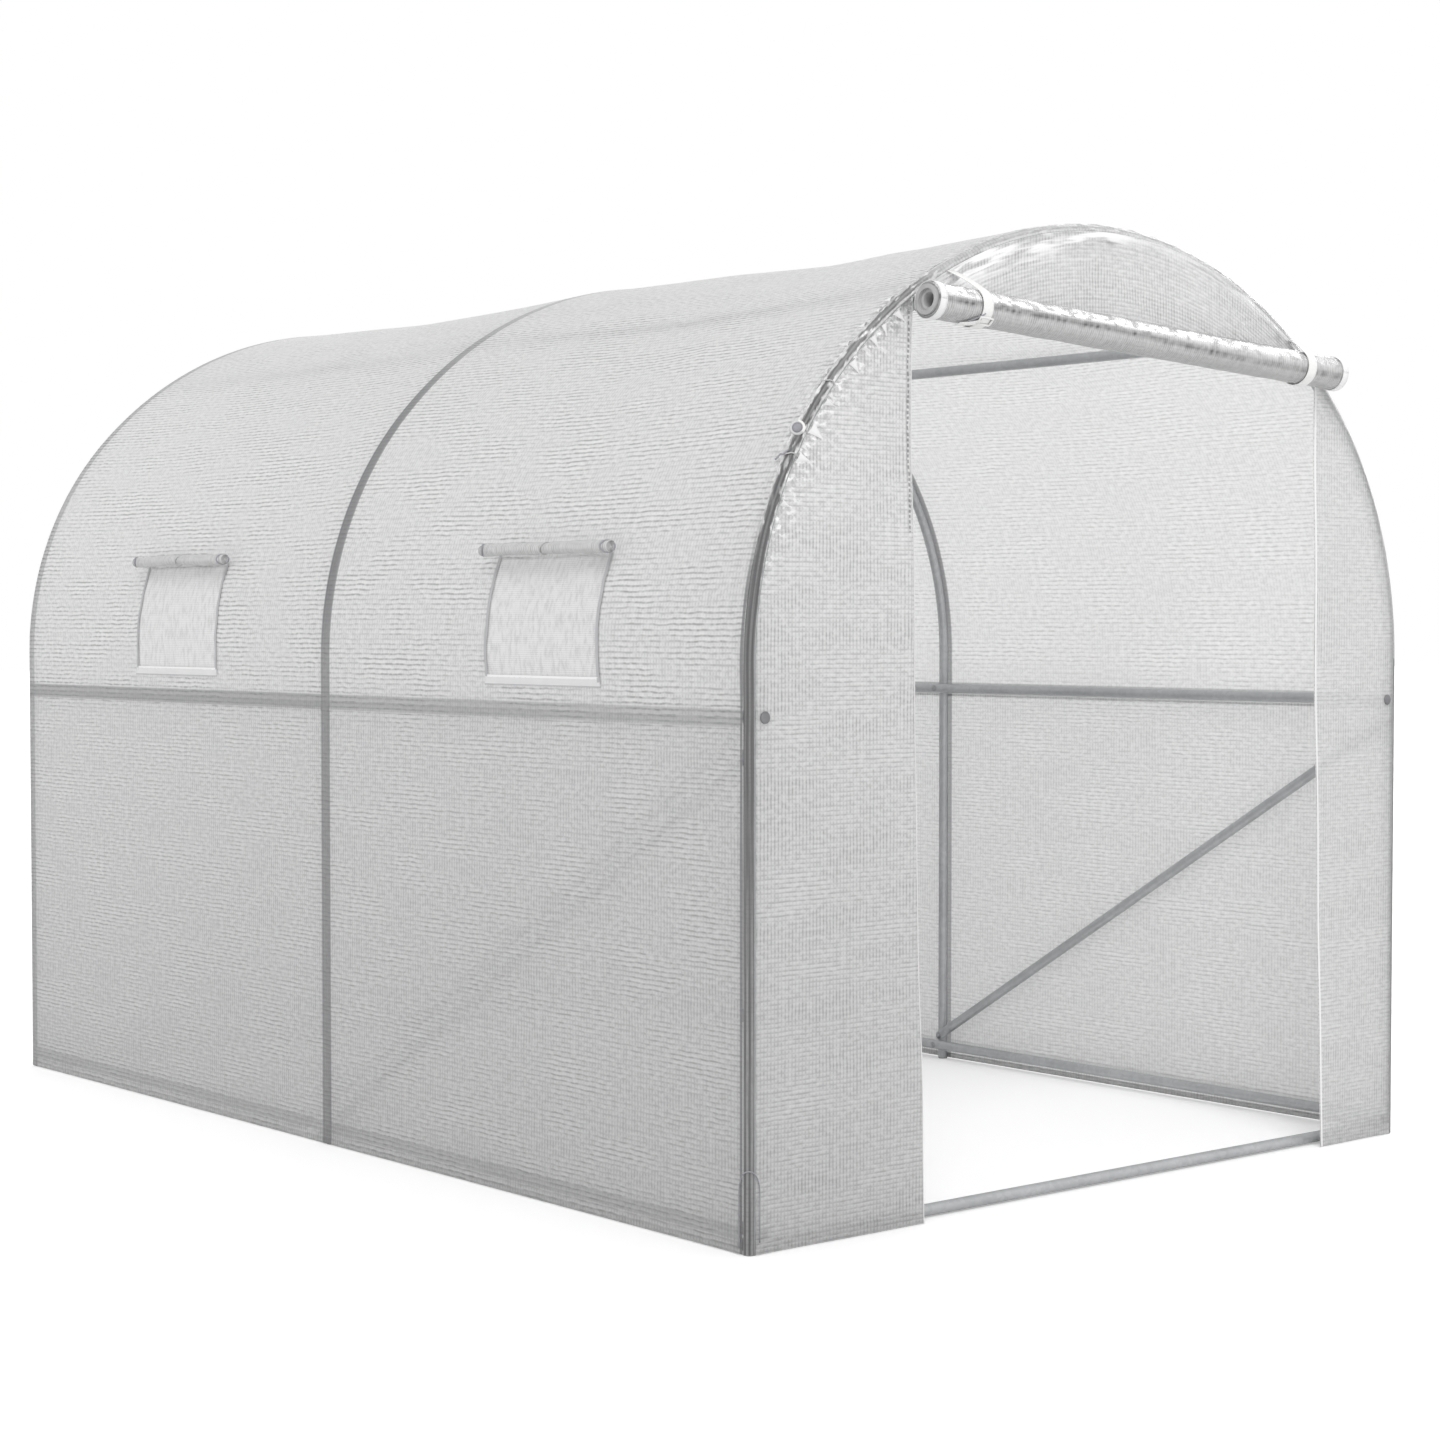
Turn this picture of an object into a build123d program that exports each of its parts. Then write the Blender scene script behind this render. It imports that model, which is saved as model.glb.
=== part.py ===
"""Walk-in polytunnel greenhouse: a tube frame of three hoops under a woven sheet cover.

Millimetres, +Z up. The origin is on the ground at the middle of the footprint, rolled door
included. +Y runs from the doorway end (front, at -Y) to the closed end (back), and +X is the
side without windows.
"""
import os
from math import asin, cos, degrees, radians, sin, sqrt, tan

from build123d import *

# Tunnel
bay_length = 1500.0
bay_count = 2
hoop_span = 2000.0
springing_height = 1135.0
shoulder_radius = 850.0
shoulder_bend = 42.4

# Steel tube
tube_diameter = 25.0
tube_wall = 1.2
swage_length = 50.0
swage_clearance = 0.3
swage_taper = 8.0
shoulder_lead = 60.0

# Feet
foot_base = 4.0
foot_stem = 28.0
foot_clearance = 0.3

# Rails and braces
seat_gap = 0.3
mid_rail_drop = 98.0
purlin_angle = 57.0
rail_splice_offset = 130.0
end_rail_lift = 3.0
brace_top_drop = 55.0
brace_foot_lift = 24.0
flat_thickness = 2.6
flat_length = 42.0
flat_taper = 38.0
flat_width = 24.0
bolt_hole_diameter = 6.5

# Cover
cover_gap = 0.3
cover_thickness = 3.0
seam = 0.3
hem_height = 2.0

# Doorway
left_flap_width = 430.0
right_flap_width = 300.0
roll_left_drop = 191.0
roll_right_drop = 264.0
roll_overhang = 15.0
roll_diameter = 78.0
roll_core_diameter = 62.0
roll_core_wall = 9.0
roll_core_stub = 4.0
roll_fit = 0.3
strap_width = 36.0
strap_thickness = 2.0
strap_inset = 118.0
strap_seam_drop = 14.0

# Windows
window_width = 395.0
window_height = 240.0
window_sill_lift = 66.0
window_front_offset = -90.0
window_back_offset = -44.0
window_corner = 12.0
screen_thickness = 1.0
screen_lap = 20.0
window_roll_diameter = 32.0
window_roll_overhang = 32.0
window_roll_gap = 0.3
window_roll_edge = 5.0
window_roll_lift = 26.0

# Worked out from the sizes above
half_span = hoop_span / 2
tube_radius = tube_diameter / 2
tube_bore = tube_diameter - 2 * tube_wall
neck_radius = tube_bore / 2 - swage_clearance
neck_root_radius = tube_radius - tube_wall / 2
tunnel_length = bay_length * bay_count
roll_radius = roll_diameter / 2
ring_radius = roll_radius + roll_fit + strap_thickness
door_projection = seam + 2 * ring_radius
middle_y = door_projection / 2
front_y = middle_y - tunnel_length / 2
back_y = middle_y + tunnel_length / 2
shoulder_centre_x = half_span - shoulder_radius
crown_radius = shoulder_radius + shoulder_centre_x / cos(radians(shoulder_bend))
crown_centre_z = springing_height - shoulder_centre_x * tan(radians(shoulder_bend))
crown_sweep = 180 - 2 * shoulder_bend
leg_top = springing_height - shoulder_lead
cover_inner = tube_radius + cover_gap
cover_outer = cover_inner + cover_thickness
rail_inset = tube_diameter + seat_gap
front_inner_face = front_y - cover_inner
front_face = front_inner_face - cover_thickness
back_inner_face = back_y + cover_inner
shoulder_centre = (shoulder_centre_x, springing_height)
crown_centre = (0, crown_centre_z)
hoop_ys = [front_y + bay_length * n for n in range(bay_count + 1)]
mid_rail_height = springing_height - mid_rail_drop
end_rail_height = tube_radius + end_rail_lift
base_rail_height = end_rail_height + tube_diameter + seat_gap
brace_top_height = mid_rail_height - brace_top_drop
brace_foot_height = base_rail_height + brace_foot_lift
window_bottom = mid_rail_height + window_sill_lift
window_top = window_bottom + window_height
door_left = left_flap_width - half_span
door_right = half_span - right_flap_width
roll_left_height = crown_centre_z + crown_radius - roll_left_drop
roll_right_height = crown_centre_z + crown_radius - roll_right_drop


def section_plane(y):
    """The upright plane across the tunnel at y, drawn in X and Z."""
    return Plane(origin=(0, y, 0), x_dir=(1, 0, 0), z_dir=(0, -1, 0))


def hoop_legs(y):
    """Both straight legs of a hoop, each necked down at the top to enter the shoulder tube."""
    with BuildPart() as legs:
        with BuildSketch(Plane(origin=(half_span, y, foot_base))):
            Circle(tube_radius)
            Circle(tube_bore / 2, mode=Mode.SUBTRACT)
        extrude(amount=leg_top - foot_base)
        with BuildSketch(Plane(origin=(half_span, y, leg_top - swage_taper))):
            Circle(neck_root_radius)
            Circle(neck_radius - tube_wall, mode=Mode.SUBTRACT)
        extrude(amount=swage_taper)
        with BuildSketch(Plane(origin=(half_span, y, leg_top))):
            Circle(neck_radius)
            Circle(neck_radius - tube_wall, mode=Mode.SUBTRACT)
        extrude(amount=swage_length)
        mirror(about=Plane.YZ)
    return legs


def hoop_shoulders(y):
    """Both bent shoulder tubes of a hoop, from the leg joint to the crown joint."""
    plane = section_plane(y)
    with BuildPart() as shoulders:
        with BuildLine(plane):
            lead = Line((half_span, leg_top + seam), (half_span, springing_height))
            CenterArc(shoulder_centre, shoulder_radius, 0, shoulder_bend)
        with BuildSketch(Plane(origin=lead @ 0, z_dir=lead % 0)):
            Circle(tube_radius)
            Circle(tube_bore / 2, mode=Mode.SUBTRACT)
        sweep()
        root_angle = degrees(swage_taper / shoulder_radius)
        with BuildLine(plane):
            root = CenterArc(shoulder_centre, shoulder_radius, shoulder_bend - root_angle, root_angle)
        with BuildSketch(Plane(origin=root @ 0, z_dir=root % 0)):
            Circle(neck_root_radius)
            Circle(neck_radius - tube_wall, mode=Mode.SUBTRACT)
        sweep()
        with BuildLine(plane):
            neck = CenterArc(crown_centre, crown_radius, shoulder_bend, degrees(swage_length / crown_radius))
        with BuildSketch(Plane(origin=neck @ 0, z_dir=neck % 0)):
            Circle(neck_radius)
            Circle(neck_radius - tube_wall, mode=Mode.SUBTRACT)
        sweep()
        mirror(about=Plane.YZ)
    return shoulders


def hoop_crown(y):
    """The crown tube of a hoop, which takes the necks of both shoulders."""
    joint = degrees(seam / crown_radius)
    with BuildPart() as crown:
        with BuildLine(section_plane(y)):
            arc = CenterArc(crown_centre, crown_radius, shoulder_bend + joint, crown_sweep - 2 * joint)
        with BuildSketch(Plane(origin=arc @ 0, z_dir=arc % 0)):
            Circle(tube_radius)
            Circle(tube_bore / 2, mode=Mode.SUBTRACT)
        sweep()
    return crown


def rail(x, z):
    """A rail along the whole tunnel in two tubes, the front one necked into the back one."""
    start = front_y - tube_radius
    stop = back_y + tube_radius
    joint = middle_y + rail_splice_offset
    with BuildPart() as tubes:
        with BuildSketch(Plane(origin=(x, start, z), x_dir=(1, 0, 0), z_dir=(0, 1, 0))):
            Circle(tube_radius)
            Circle(tube_bore / 2, mode=Mode.SUBTRACT)
        extrude(amount=joint - start)
        with BuildSketch(Plane(origin=(x, joint - swage_taper, z), x_dir=(1, 0, 0), z_dir=(0, 1, 0))):
            Circle(neck_root_radius)
            Circle(neck_radius - tube_wall, mode=Mode.SUBTRACT)
        extrude(amount=swage_taper)
        with BuildSketch(Plane(origin=(x, joint, z), x_dir=(1, 0, 0), z_dir=(0, 1, 0))):
            Circle(neck_radius)
            Circle(neck_radius - tube_wall, mode=Mode.SUBTRACT)
        extrude(amount=swage_length)
        with BuildSketch(Plane(origin=(x, joint + seam, z), x_dir=(1, 0, 0), z_dir=(0, 1, 0))):
            Circle(tube_radius)
            Circle(tube_bore / 2, mode=Mode.SUBTRACT)
        extrude(amount=stop - joint - seam)
    return tubes


def finish_node(piece, name):
    """Label a finished piece and write it to its own file."""
    piece.part.label = name
    export_step(piece.part, f"parts/{name}.step")


os.makedirs("parts", exist_ok=True)

for name, y in zip(("front", "middle", "back"), hoop_ys):
    finish_node(hoop_legs(y), f"{name}_hoop_legs")
    finish_node(hoop_shoulders(y), f"{name}_hoop_shoulders")
    finish_node(hoop_crown(y), f"{name}_hoop_crown")

with BuildPart() as feet:
    with BuildSketch(Plane(origin=(0, middle_y, 0))):
        with GridLocations(hoop_span, bay_length, 2, bay_count + 1):
            Circle(tube_radius)
    extrude(amount=foot_base)
    with BuildSketch(Plane(origin=(0, middle_y, foot_base))):
        with GridLocations(hoop_span, bay_length, 2, bay_count + 1):
            Circle(tube_bore / 2 - foot_clearance)
    extrude(amount=foot_stem)
finish_node(feet, "hoop_feet")

# Rails run along the inner side of the hoops
rail_x = half_span - rail_inset
purlin_x = (crown_radius - rail_inset) * cos(radians(purlin_angle))
purlin_z = crown_centre_z + (crown_radius - rail_inset) * sin(radians(purlin_angle))
ridge_z = crown_centre_z + crown_radius - rail_inset
for side, sign in (("left", -1), ("right", 1)):
    finish_node(rail(sign * rail_x, mid_rail_height), f"{side}_mid_rail")
    finish_node(rail(sign * purlin_x, purlin_z), f"{side}_purlin")
    finish_node(rail(sign * (half_span - rail_inset), base_rail_height), f"{side}_base_rail")
finish_node(rail(0, ridge_z), "ridge_rail")

# Tubes across both ends, under the base rails
for name, y in (("front_sill", front_y + rail_inset), ("back_base_rail", back_y - rail_inset)):
    with BuildPart() as end_rail:
        with BuildSketch(Plane(origin=(-half_span, y, end_rail_height), x_dir=(0, 1, 0), z_dir=(1, 0, 0))):
            Circle(tube_radius)
            Circle(tube_bore / 2, mode=Mode.SUBTRACT)
        extrude(amount=hoop_span)
    finish_node(end_rail, name)

# Braces of the front bay, from under the mid rail down to the middle hoop, pressed flat at both ends
brace_fall = brace_top_height - brace_foot_height
brace_length = sqrt(bay_length ** 2 + brace_fall ** 2)
brace_x = half_span - tube_radius - seat_gap - flat_thickness / 2
tube_start = flat_length / 2 + flat_taper
for side, sign in (("left", -1), ("right", 1)):
    along = Plane(origin=(sign * brace_x, front_y, brace_top_height), x_dir=(1, 0, 0),
                  z_dir=(0, bay_length / brace_length, -brace_fall / brace_length))
    with BuildPart() as brace:
        with BuildSketch(along.offset(tube_start)):
            Circle(tube_radius)
            Circle(tube_bore / 2, mode=Mode.SUBTRACT)
        extrude(amount=brace_length - 2 * tube_start)
        for tab_at, tube_at in ((flat_length / 2, tube_start),
                                (brace_length - flat_length / 2, brace_length - tube_start)):
            with BuildSketch(along.offset(tab_at)) as tab_end:
                Rectangle(flat_thickness, flat_width)
            with BuildSketch(along.offset(tube_at)) as tube_end:
                Circle(tube_radius)
            loft()
        with BuildSketch(Plane(origin=along.origin, x_dir=along.z_dir, z_dir=(1, 0, 0))):
            for bolt_at, towards in ((0, Align.MIN), (brace_length, Align.MAX)):
                with Locations((bolt_at, 0)):
                    Circle(flat_width / 2)
                    Rectangle(flat_length / 2, flat_width, align=(towards, Align.CENTER))
                    Circle(bolt_hole_diameter / 2, mode=Mode.SUBTRACT)
        extrude(amount=flat_thickness / 2, both=True)
    finish_node(brace, f"{side}_brace")


def side_plane(side, y):
    """The upright plane across the tunnel at y, with its X pointing out on the given side."""
    if side == "left":
        return Plane(origin=(0, y, 0), x_dir=(-1, 0, 0), z_dir=(0, 1, 0))
    return section_plane(y)


def upper_profile(low, inner, outer, bend):
    """Section between two offsets from the hoop line, from height low round to the bend angle."""
    with BuildLine() as outline:
        inside = CenterArc(shoulder_centre, shoulder_radius + inner, 0, bend)
        outside = CenterArc(shoulder_centre, shoulder_radius + outer, 0, bend)
        Polyline(inside @ 0, (half_span + inner, low), (half_span + outer, low), outside @ 0)
        Line(inside @ 1, outside @ 1)
    make_face(outline.edges())


def arch_outline(offset):
    """The whole end outline of the tunnel, at an offset outside the hoop line."""
    with BuildLine() as outline:
        CenterArc(crown_centre, crown_radius + offset, shoulder_bend, crown_sweep)
        right = CenterArc(shoulder_centre, shoulder_radius + offset, 0, shoulder_bend)
        left = CenterArc((-shoulder_centre_x, springing_height), shoulder_radius + offset,
                         180 - shoulder_bend, shoulder_bend)
        Polyline(right @ 0, (half_span + offset, hem_height), (-half_span - offset, hem_height), left @ 1)
    make_face(outline.edges())


# Cover over each bay, in sheets between the mid rail, the crown joints and the hoops
sheet_ends = {"front": (front_inner_face + seam, middle_y - seam / 2),
              "back": (middle_y + seam / 2, back_inner_face - seam)}
sheet_bend = shoulder_bend - degrees(seam / shoulder_radius)
window_ys = {"front": middle_y - bay_length / 2 + window_front_offset,
             "back": middle_y + bay_length / 2 + window_back_offset}
screen_outer = cover_inner - seam
screen_bend = degrees(asin((window_top + screen_lap - springing_height) / (shoulder_radius + screen_outer)))
roll_bend = degrees(asin((window_top + window_roll_lift - springing_height) / shoulder_radius))
for bay, (start, stop) in sheet_ends.items():
    for side in ("left", "right"):
        plane = side_plane(side, start)
        with BuildPart() as lower_sheet:
            with BuildSketch(plane):
                with Locations((half_span + cover_inner, hem_height)):
                    Rectangle(cover_thickness, mid_rail_height - hem_height - seam, align=Align.MIN)
            extrude(amount=stop - start, dir=(0, 1, 0))
        finish_node(lower_sheet, f"{bay}_bay_{side}_lower_sheet")
        with BuildPart() as upper_sheet:
            with BuildSketch(plane):
                upper_profile(mid_rail_height, cover_inner, cover_outer, sheet_bend)
            extrude(amount=stop - start, dir=(0, 1, 0))
            if side == "left":
                with BuildSketch(Plane(origin=(-half_span - cover_outer, window_ys[bay], 0),
                                       x_dir=(0, 1, 0), z_dir=(1, 0, 0))):
                    with Locations((0, (window_bottom + window_top) / 2)):
                        RectangleRounded(window_width, window_top - window_bottom, window_corner)
                extrude(amount=shoulder_radius, mode=Mode.SUBTRACT)
                low_edge = side_plane(side, window_ys[bay] - window_width / 2 - screen_lap)
                with BuildSketch(low_edge):
                    upper_profile(window_bottom - screen_lap, screen_outer - screen_thickness,
                                  screen_outer, screen_bend)
                extrude(amount=window_width + 2 * screen_lap, dir=(0, 1, 0))
        finish_node(upper_sheet, f"{bay}_bay_{side}_upper_sheet")
    with BuildPart() as roof_sheet:
        with BuildSketch(section_plane(start)):
            joint = degrees(seam / crown_radius)
            with BuildLine():
                inside = CenterArc(crown_centre, crown_radius + cover_inner, shoulder_bend + joint,
                                   crown_sweep - 2 * joint)
                outside = CenterArc(crown_centre, crown_radius + cover_outer, shoulder_bend + joint,
                                    crown_sweep - 2 * joint)
                Line(inside @ 0, outside @ 0)
                Line(inside @ 1, outside @ 1)
            make_face()
        extrude(amount=stop - start, dir=(0, 1, 0))
    finish_node(roof_sheet, f"{bay}_bay_roof_sheet")

# The window flaps, rolled up and tied over each window
for bay, y in window_ys.items():
    roll_axis_radius = shoulder_radius + cover_outer + window_roll_gap + window_roll_diameter / 2
    roll_x = -shoulder_centre_x - roll_axis_radius * cos(radians(roll_bend))
    roll_z = springing_height + roll_axis_radius * sin(radians(roll_bend))
    roll_length = window_width + 2 * window_roll_overhang
    with BuildPart() as window_roll:
        with BuildSketch(Plane(origin=(roll_x, y - roll_length / 2, roll_z), x_dir=(1, 0, 0), z_dir=(0, 1, 0))):
            Circle(window_roll_diameter / 2)
        extrude(amount=roll_length)
        fillet(window_roll.edges().filter_by(GeomType.CIRCLE), window_roll_edge)
    finish_node(window_roll, f"{bay}_window_roll")

# End sheets
slope = (roll_right_height - roll_left_height) / (door_right - door_left)
front_parts = {
    "front_left_flap": [(-hoop_span, 0), (door_left, 0), (door_left, hoop_span * 2), (-hoop_span, hoop_span * 2)],
    "front_right_flap": [(door_right, 0), (hoop_span, 0), (hoop_span, hoop_span * 2), (door_right, hoop_span * 2)],
    "front_top_sheet": [(door_left + seam, roll_left_height), (door_right - seam, roll_right_height),
                        (door_right - seam, hoop_span * 2), (door_left + seam, hoop_span * 2)],
}
for name, corners in front_parts.items():
    with BuildPart() as front_sheet:
        with BuildSketch(section_plane(front_inner_face)):
            arch_outline(cover_outer)
            Polygon(*corners, align=None, mode=Mode.INTERSECT)
        extrude(amount=cover_thickness)
    finish_node(front_sheet, name)
with BuildPart() as back_sheet:
    with BuildSketch(section_plane(back_inner_face + cover_thickness)):
        arch_outline(cover_outer)
    extrude(amount=cover_thickness)
finish_node(back_sheet, "back_sheet")

# The door sheet, rolled round its tube and hung by two straps across the head of the doorway
roll_y = front_face - seam - ring_radius
roll_start = Vector(door_left - roll_overhang, roll_y, roll_left_height - slope * roll_overhang)
roll_stop = Vector(door_right + roll_overhang, roll_y, roll_right_height + slope * roll_overhang)
roll_axis = (roll_stop - roll_start).normalized()
roll_plane = Plane(origin=roll_start, x_dir=(0, 1, 0), z_dir=roll_axis)
roll_length = (roll_stop - roll_start).length
with BuildPart() as door_roll:
    with BuildSketch(roll_plane):
        Circle(roll_radius)
        Circle(roll_core_diameter / 2 + roll_fit, mode=Mode.SUBTRACT)
    extrude(amount=roll_length)
finish_node(door_roll, "door_roll")
with BuildPart() as door_roll_tube:
    with BuildSketch(roll_plane.offset(-roll_core_stub)):
        Circle(roll_core_diameter / 2)
        Circle(roll_core_diameter / 2 - roll_core_wall, mode=Mode.SUBTRACT)
    extrude(amount=roll_length + 2 * roll_core_stub)
finish_node(door_roll_tube, "door_roll_tube")
with BuildPart() as door_straps:
    for x in (door_left + strap_inset, door_right - strap_inset):
        axis_z = roll_left_height + slope * (x - door_left)
        arch_z = crown_centre_z + sqrt((crown_radius + cover_outer) ** 2 - x ** 2)
        with BuildSketch(Plane(origin=Vector(x, roll_y, axis_z) - roll_axis * strap_width / 2,
                               x_dir=(0, 1, 0), z_dir=roll_axis)):
            Circle(ring_radius)
            Circle(roll_radius + roll_fit, mode=Mode.SUBTRACT)
        extrude(amount=strap_width)
        with BuildSketch(section_plane(front_face - seam)):
            with Locations((x, axis_z)):
                Rectangle(strap_width, arch_z - strap_seam_drop - axis_z, align=(Align.CENTER, Align.MIN))
        extrude(amount=strap_thickness)
finish_node(door_straps, "door_straps")
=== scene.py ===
"""Looks of the walk-in polytunnel greenhouse: woven sheet cover, roll-up door, windows and tubes."""
import math

import bmesh
import bpy
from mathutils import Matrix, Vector, noise


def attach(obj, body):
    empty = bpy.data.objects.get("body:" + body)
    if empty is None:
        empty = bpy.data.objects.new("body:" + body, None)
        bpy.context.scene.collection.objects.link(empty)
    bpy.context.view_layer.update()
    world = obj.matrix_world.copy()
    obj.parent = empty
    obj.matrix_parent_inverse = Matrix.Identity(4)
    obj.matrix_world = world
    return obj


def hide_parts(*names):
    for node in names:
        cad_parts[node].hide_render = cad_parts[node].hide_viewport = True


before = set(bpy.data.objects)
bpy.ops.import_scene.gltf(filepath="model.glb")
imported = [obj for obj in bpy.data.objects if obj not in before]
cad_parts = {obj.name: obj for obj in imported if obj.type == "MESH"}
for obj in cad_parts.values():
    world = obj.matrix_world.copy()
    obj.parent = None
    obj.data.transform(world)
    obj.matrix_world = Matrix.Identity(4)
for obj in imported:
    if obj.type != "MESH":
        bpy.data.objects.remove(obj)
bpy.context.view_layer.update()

# Hoop line, in metres
HALF_SPAN = 1.0
SPRINGING = 1.135
SHOULDER_R = 0.85
SHOULDER_BEND = math.radians(42.4)
SHOULDER_X = HALF_SPAN - SHOULDER_R
CROWN_R = SHOULDER_R + SHOULDER_X / math.cos(SHOULDER_BEND)
CROWN_Z = SPRINGING - SHOULDER_X * math.tan(SHOULDER_BEND)
CROWN_BEND = math.pi / 2 - SHOULDER_BEND
HALF_LINE = SPRINGING + SHOULDER_R * SHOULDER_BEND + CROWN_R * CROWN_BEND
LINE = 2 * HALF_LINE
TUBE_R = 0.0125
BAY = 1.5
HOOPS = (-1.45855, 0.04145, 1.54145)

# Cover
COVER_LIFT = 0.0140
COVER_FRONT = HOOPS[0] + 0.004
COVER_BACK = HOOPS[2] + 0.0145
FRONT_Y = -1.4729
BACK_Y = HOOPS[2] + 0.0143
RAIL_X = 0.9747
RAIL_Z = 1.037
BASE_Z = 0.0408
BRACE_TOP = RAIL_Z - 0.055
BRACE_FOOT = BASE_Z + 0.024
GRID_STEP = 0.022
LOWEST = 0.0012
LINE_ENDS = (0.002, LINE - 0.002)
SHEET_FOOT = 0.0015
CALM_SEAM = HALF_LINE + 0.5

# Windows, on the left side
WINDOW_YS = (-0.79855, 0.74745)
WINDOW_WIDTH = 0.395
WINDOW_LOW = 1.103
WINDOW_HIGH = 1.356
WINDOW_ROLL_Z = 1.366
WINDOW_ROLL_R = 0.016
WINDOW_ROLL_LENGTH = 0.459
NET_MARGIN = 0.010

# Doorway and rolled door
DOOR_LEFT = -0.570
DOOR_RIGHT = 0.700
ROLL_Y = -1.51595
ROLL_START = Vector((-0.585, ROLL_Y, CROWN_Z + CROWN_R - 0.191 + 0.015 * 0.0575))
ROLL_STOP = Vector((0.715, ROLL_Y, CROWN_Z + CROWN_R - 0.264 - 0.015 * 0.0575))
ROLL_R = 0.039
ROLL_CORE_R = 0.0313
STRAP_XS = (-0.452, 0.582)
STRAP_LEANS = (-0.030, 0.020)


# Shape helpers
def section(s):
    """Point (x, z) and outward direction of the hoop line, a length s along it from the left ground."""
    mirrored = s > HALF_LINE
    if mirrored:
        s = LINE - s
    if s <= SPRINGING:
        x, z, nx, nz = -HALF_SPAN, s, -1.0, 0.0
    elif s <= SPRINGING + SHOULDER_R * SHOULDER_BEND:
        turn = (s - SPRINGING) / SHOULDER_R
        nx, nz = -math.cos(turn), math.sin(turn)
        x, z = -SHOULDER_X + SHOULDER_R * nx, SPRINGING + SHOULDER_R * nz
    else:
        turn = SHOULDER_BEND + (s - SPRINGING - SHOULDER_R * SHOULDER_BEND) / CROWN_R
        nx, nz = -math.cos(turn), math.sin(turn)
        x, z = CROWN_R * nx, CROWN_Z + CROWN_R * nz
    if mirrored:
        x, nx = -x, -nx
    return x, z, nx, nz


def off_line(s, y, out):
    """A point at y, moved out from the hoop line at s and kept above the ground."""
    x, z, nx, nz = section(s)
    return (x + nx * out, y, max(LOWEST, z + nz * out))


def to_ground(s):
    """Length along the hoop line to the nearer ground."""
    return min(s, LINE - s)


def line_at_height(z):
    """Length along the hoop line, on the left, at which it has height z."""
    if z <= SPRINGING:
        return z
    turn = math.asin(min(1.0, (z - SPRINGING) / SHOULDER_R))
    if turn <= SHOULDER_BEND:
        return SPRINGING + SHOULDER_R * turn
    turn = math.asin(min(1.0, (z - CROWN_Z) / CROWN_R))
    return SPRINGING + SHOULDER_R * SHOULDER_BEND + CROWN_R * (turn - SHOULDER_BEND)


def arch_height(x, lift=0.0):
    """Height of the hoop line, moved out by lift, above a point x across the tunnel."""
    if abs(x) <= (CROWN_R + lift) * math.cos(SHOULDER_BEND):
        return CROWN_Z + math.sqrt((CROWN_R + lift) ** 2 - x * x)
    reach = min(abs(x) - SHOULDER_X, SHOULDER_R + lift)
    return SPRINGING + math.sqrt((SHOULDER_R + lift) ** 2 - reach ** 2)


def arch_half_width(z):
    """Half the width of the arch at height z."""
    if z <= SPRINGING:
        return HALF_SPAN
    if z <= SPRINGING + SHOULDER_R * math.sin(SHOULDER_BEND):
        return SHOULDER_X + math.sqrt(SHOULDER_R ** 2 - (z - SPRINGING) ** 2)
    return math.sqrt(max(0.0, CROWN_R ** 2 - (z - CROWN_Z) ** 2))


def inside_hoop(x, z):
    """How far inside the hoop line a point is."""
    if z <= SPRINGING:
        return HALF_SPAN - abs(x)
    if math.atan2(z - SPRINGING, abs(x) - SHOULDER_X) < SHOULDER_BEND:
        return SHOULDER_R - math.hypot(abs(x) - SHOULDER_X, z - SPRINGING)
    return CROWN_R - math.hypot(x, z - CROWN_Z)


def smooth(low, high, value):
    """0 below low, 1 above high, and a soft rise between."""
    t = min(1.0, max(0.0, (value - low) / (high - low)))
    return t * t * (3 - 2 * t)


def grain(x, y, z=0.0):
    """Smooth noise from about -1 to 1."""
    return noise.noise(Vector((x, y, z)))


def stops(start, stop, step, keep=()):
    """Rising values from start to stop, no further apart than step, with the kept ones among them."""
    marks = [start] + sorted(k for k in keep if start < k < stop) + [stop]
    values = []
    for a, b in zip(marks, marks[1:]):
        count = max(1, math.ceil((b - a) / step))
        values += [a + (b - a) * n / count for n in range(count)]
    return values + [stop]


def made(name, verts, faces, material):
    """An object with smooth faces and one material."""
    mesh = bpy.data.meshes.new(name)
    mesh.from_pydata(verts, [], faces)
    mesh.polygons.foreach_set("use_smooth", [True] * len(mesh.polygons))
    mesh.materials.append(material)
    piece = bpy.data.objects.new(name, mesh)
    bpy.context.collection.objects.link(piece)
    return piece


def surface(name, us, vs, point, material, uv=None, skip=None, marks=None):
    """A sheet of quads over a grid of u and v, with the weave laid in metres on its UV map."""
    wide = len(us)
    faces, corners = [], []
    for j in range(len(vs) - 1):
        for i in range(wide - 1):
            if skip and skip((us[i] + us[i + 1]) / 2, (vs[j] + vs[j + 1]) / 2):
                continue
            faces.append((j * wide + i, j * wide + i + 1, (j + 1) * wide + i + 1, (j + 1) * wide + i))
            corners += [(us[i], vs[j]), (us[i + 1], vs[j]), (us[i + 1], vs[j + 1]), (us[i], vs[j + 1])]
    piece = made(name, [point(u, v) for v in vs for u in us], faces, material)
    layer = piece.data.uv_layers.new(name="UVMap")
    for slot, (u, v) in zip(layer.data, corners):
        slot.uv = uv(u, v) if uv else (u, v)
    for mark, value in (marks or {}).items():
        layer = piece.data.attributes.new(mark, "FLOAT", "POINT")
        layer.data.foreach_set("value", [value(u, v) for v in vs for u in us])
    if skip:
        drop_loose(piece.data)
    return piece


def drop_loose(mesh):
    """Takes out points that no face uses."""
    work = bmesh.new()
    work.from_mesh(mesh)
    bmesh.ops.delete(work, geom=[v for v in work.verts if not v.link_faces], context="VERTS")
    work.to_mesh(mesh)
    work.free()


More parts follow.
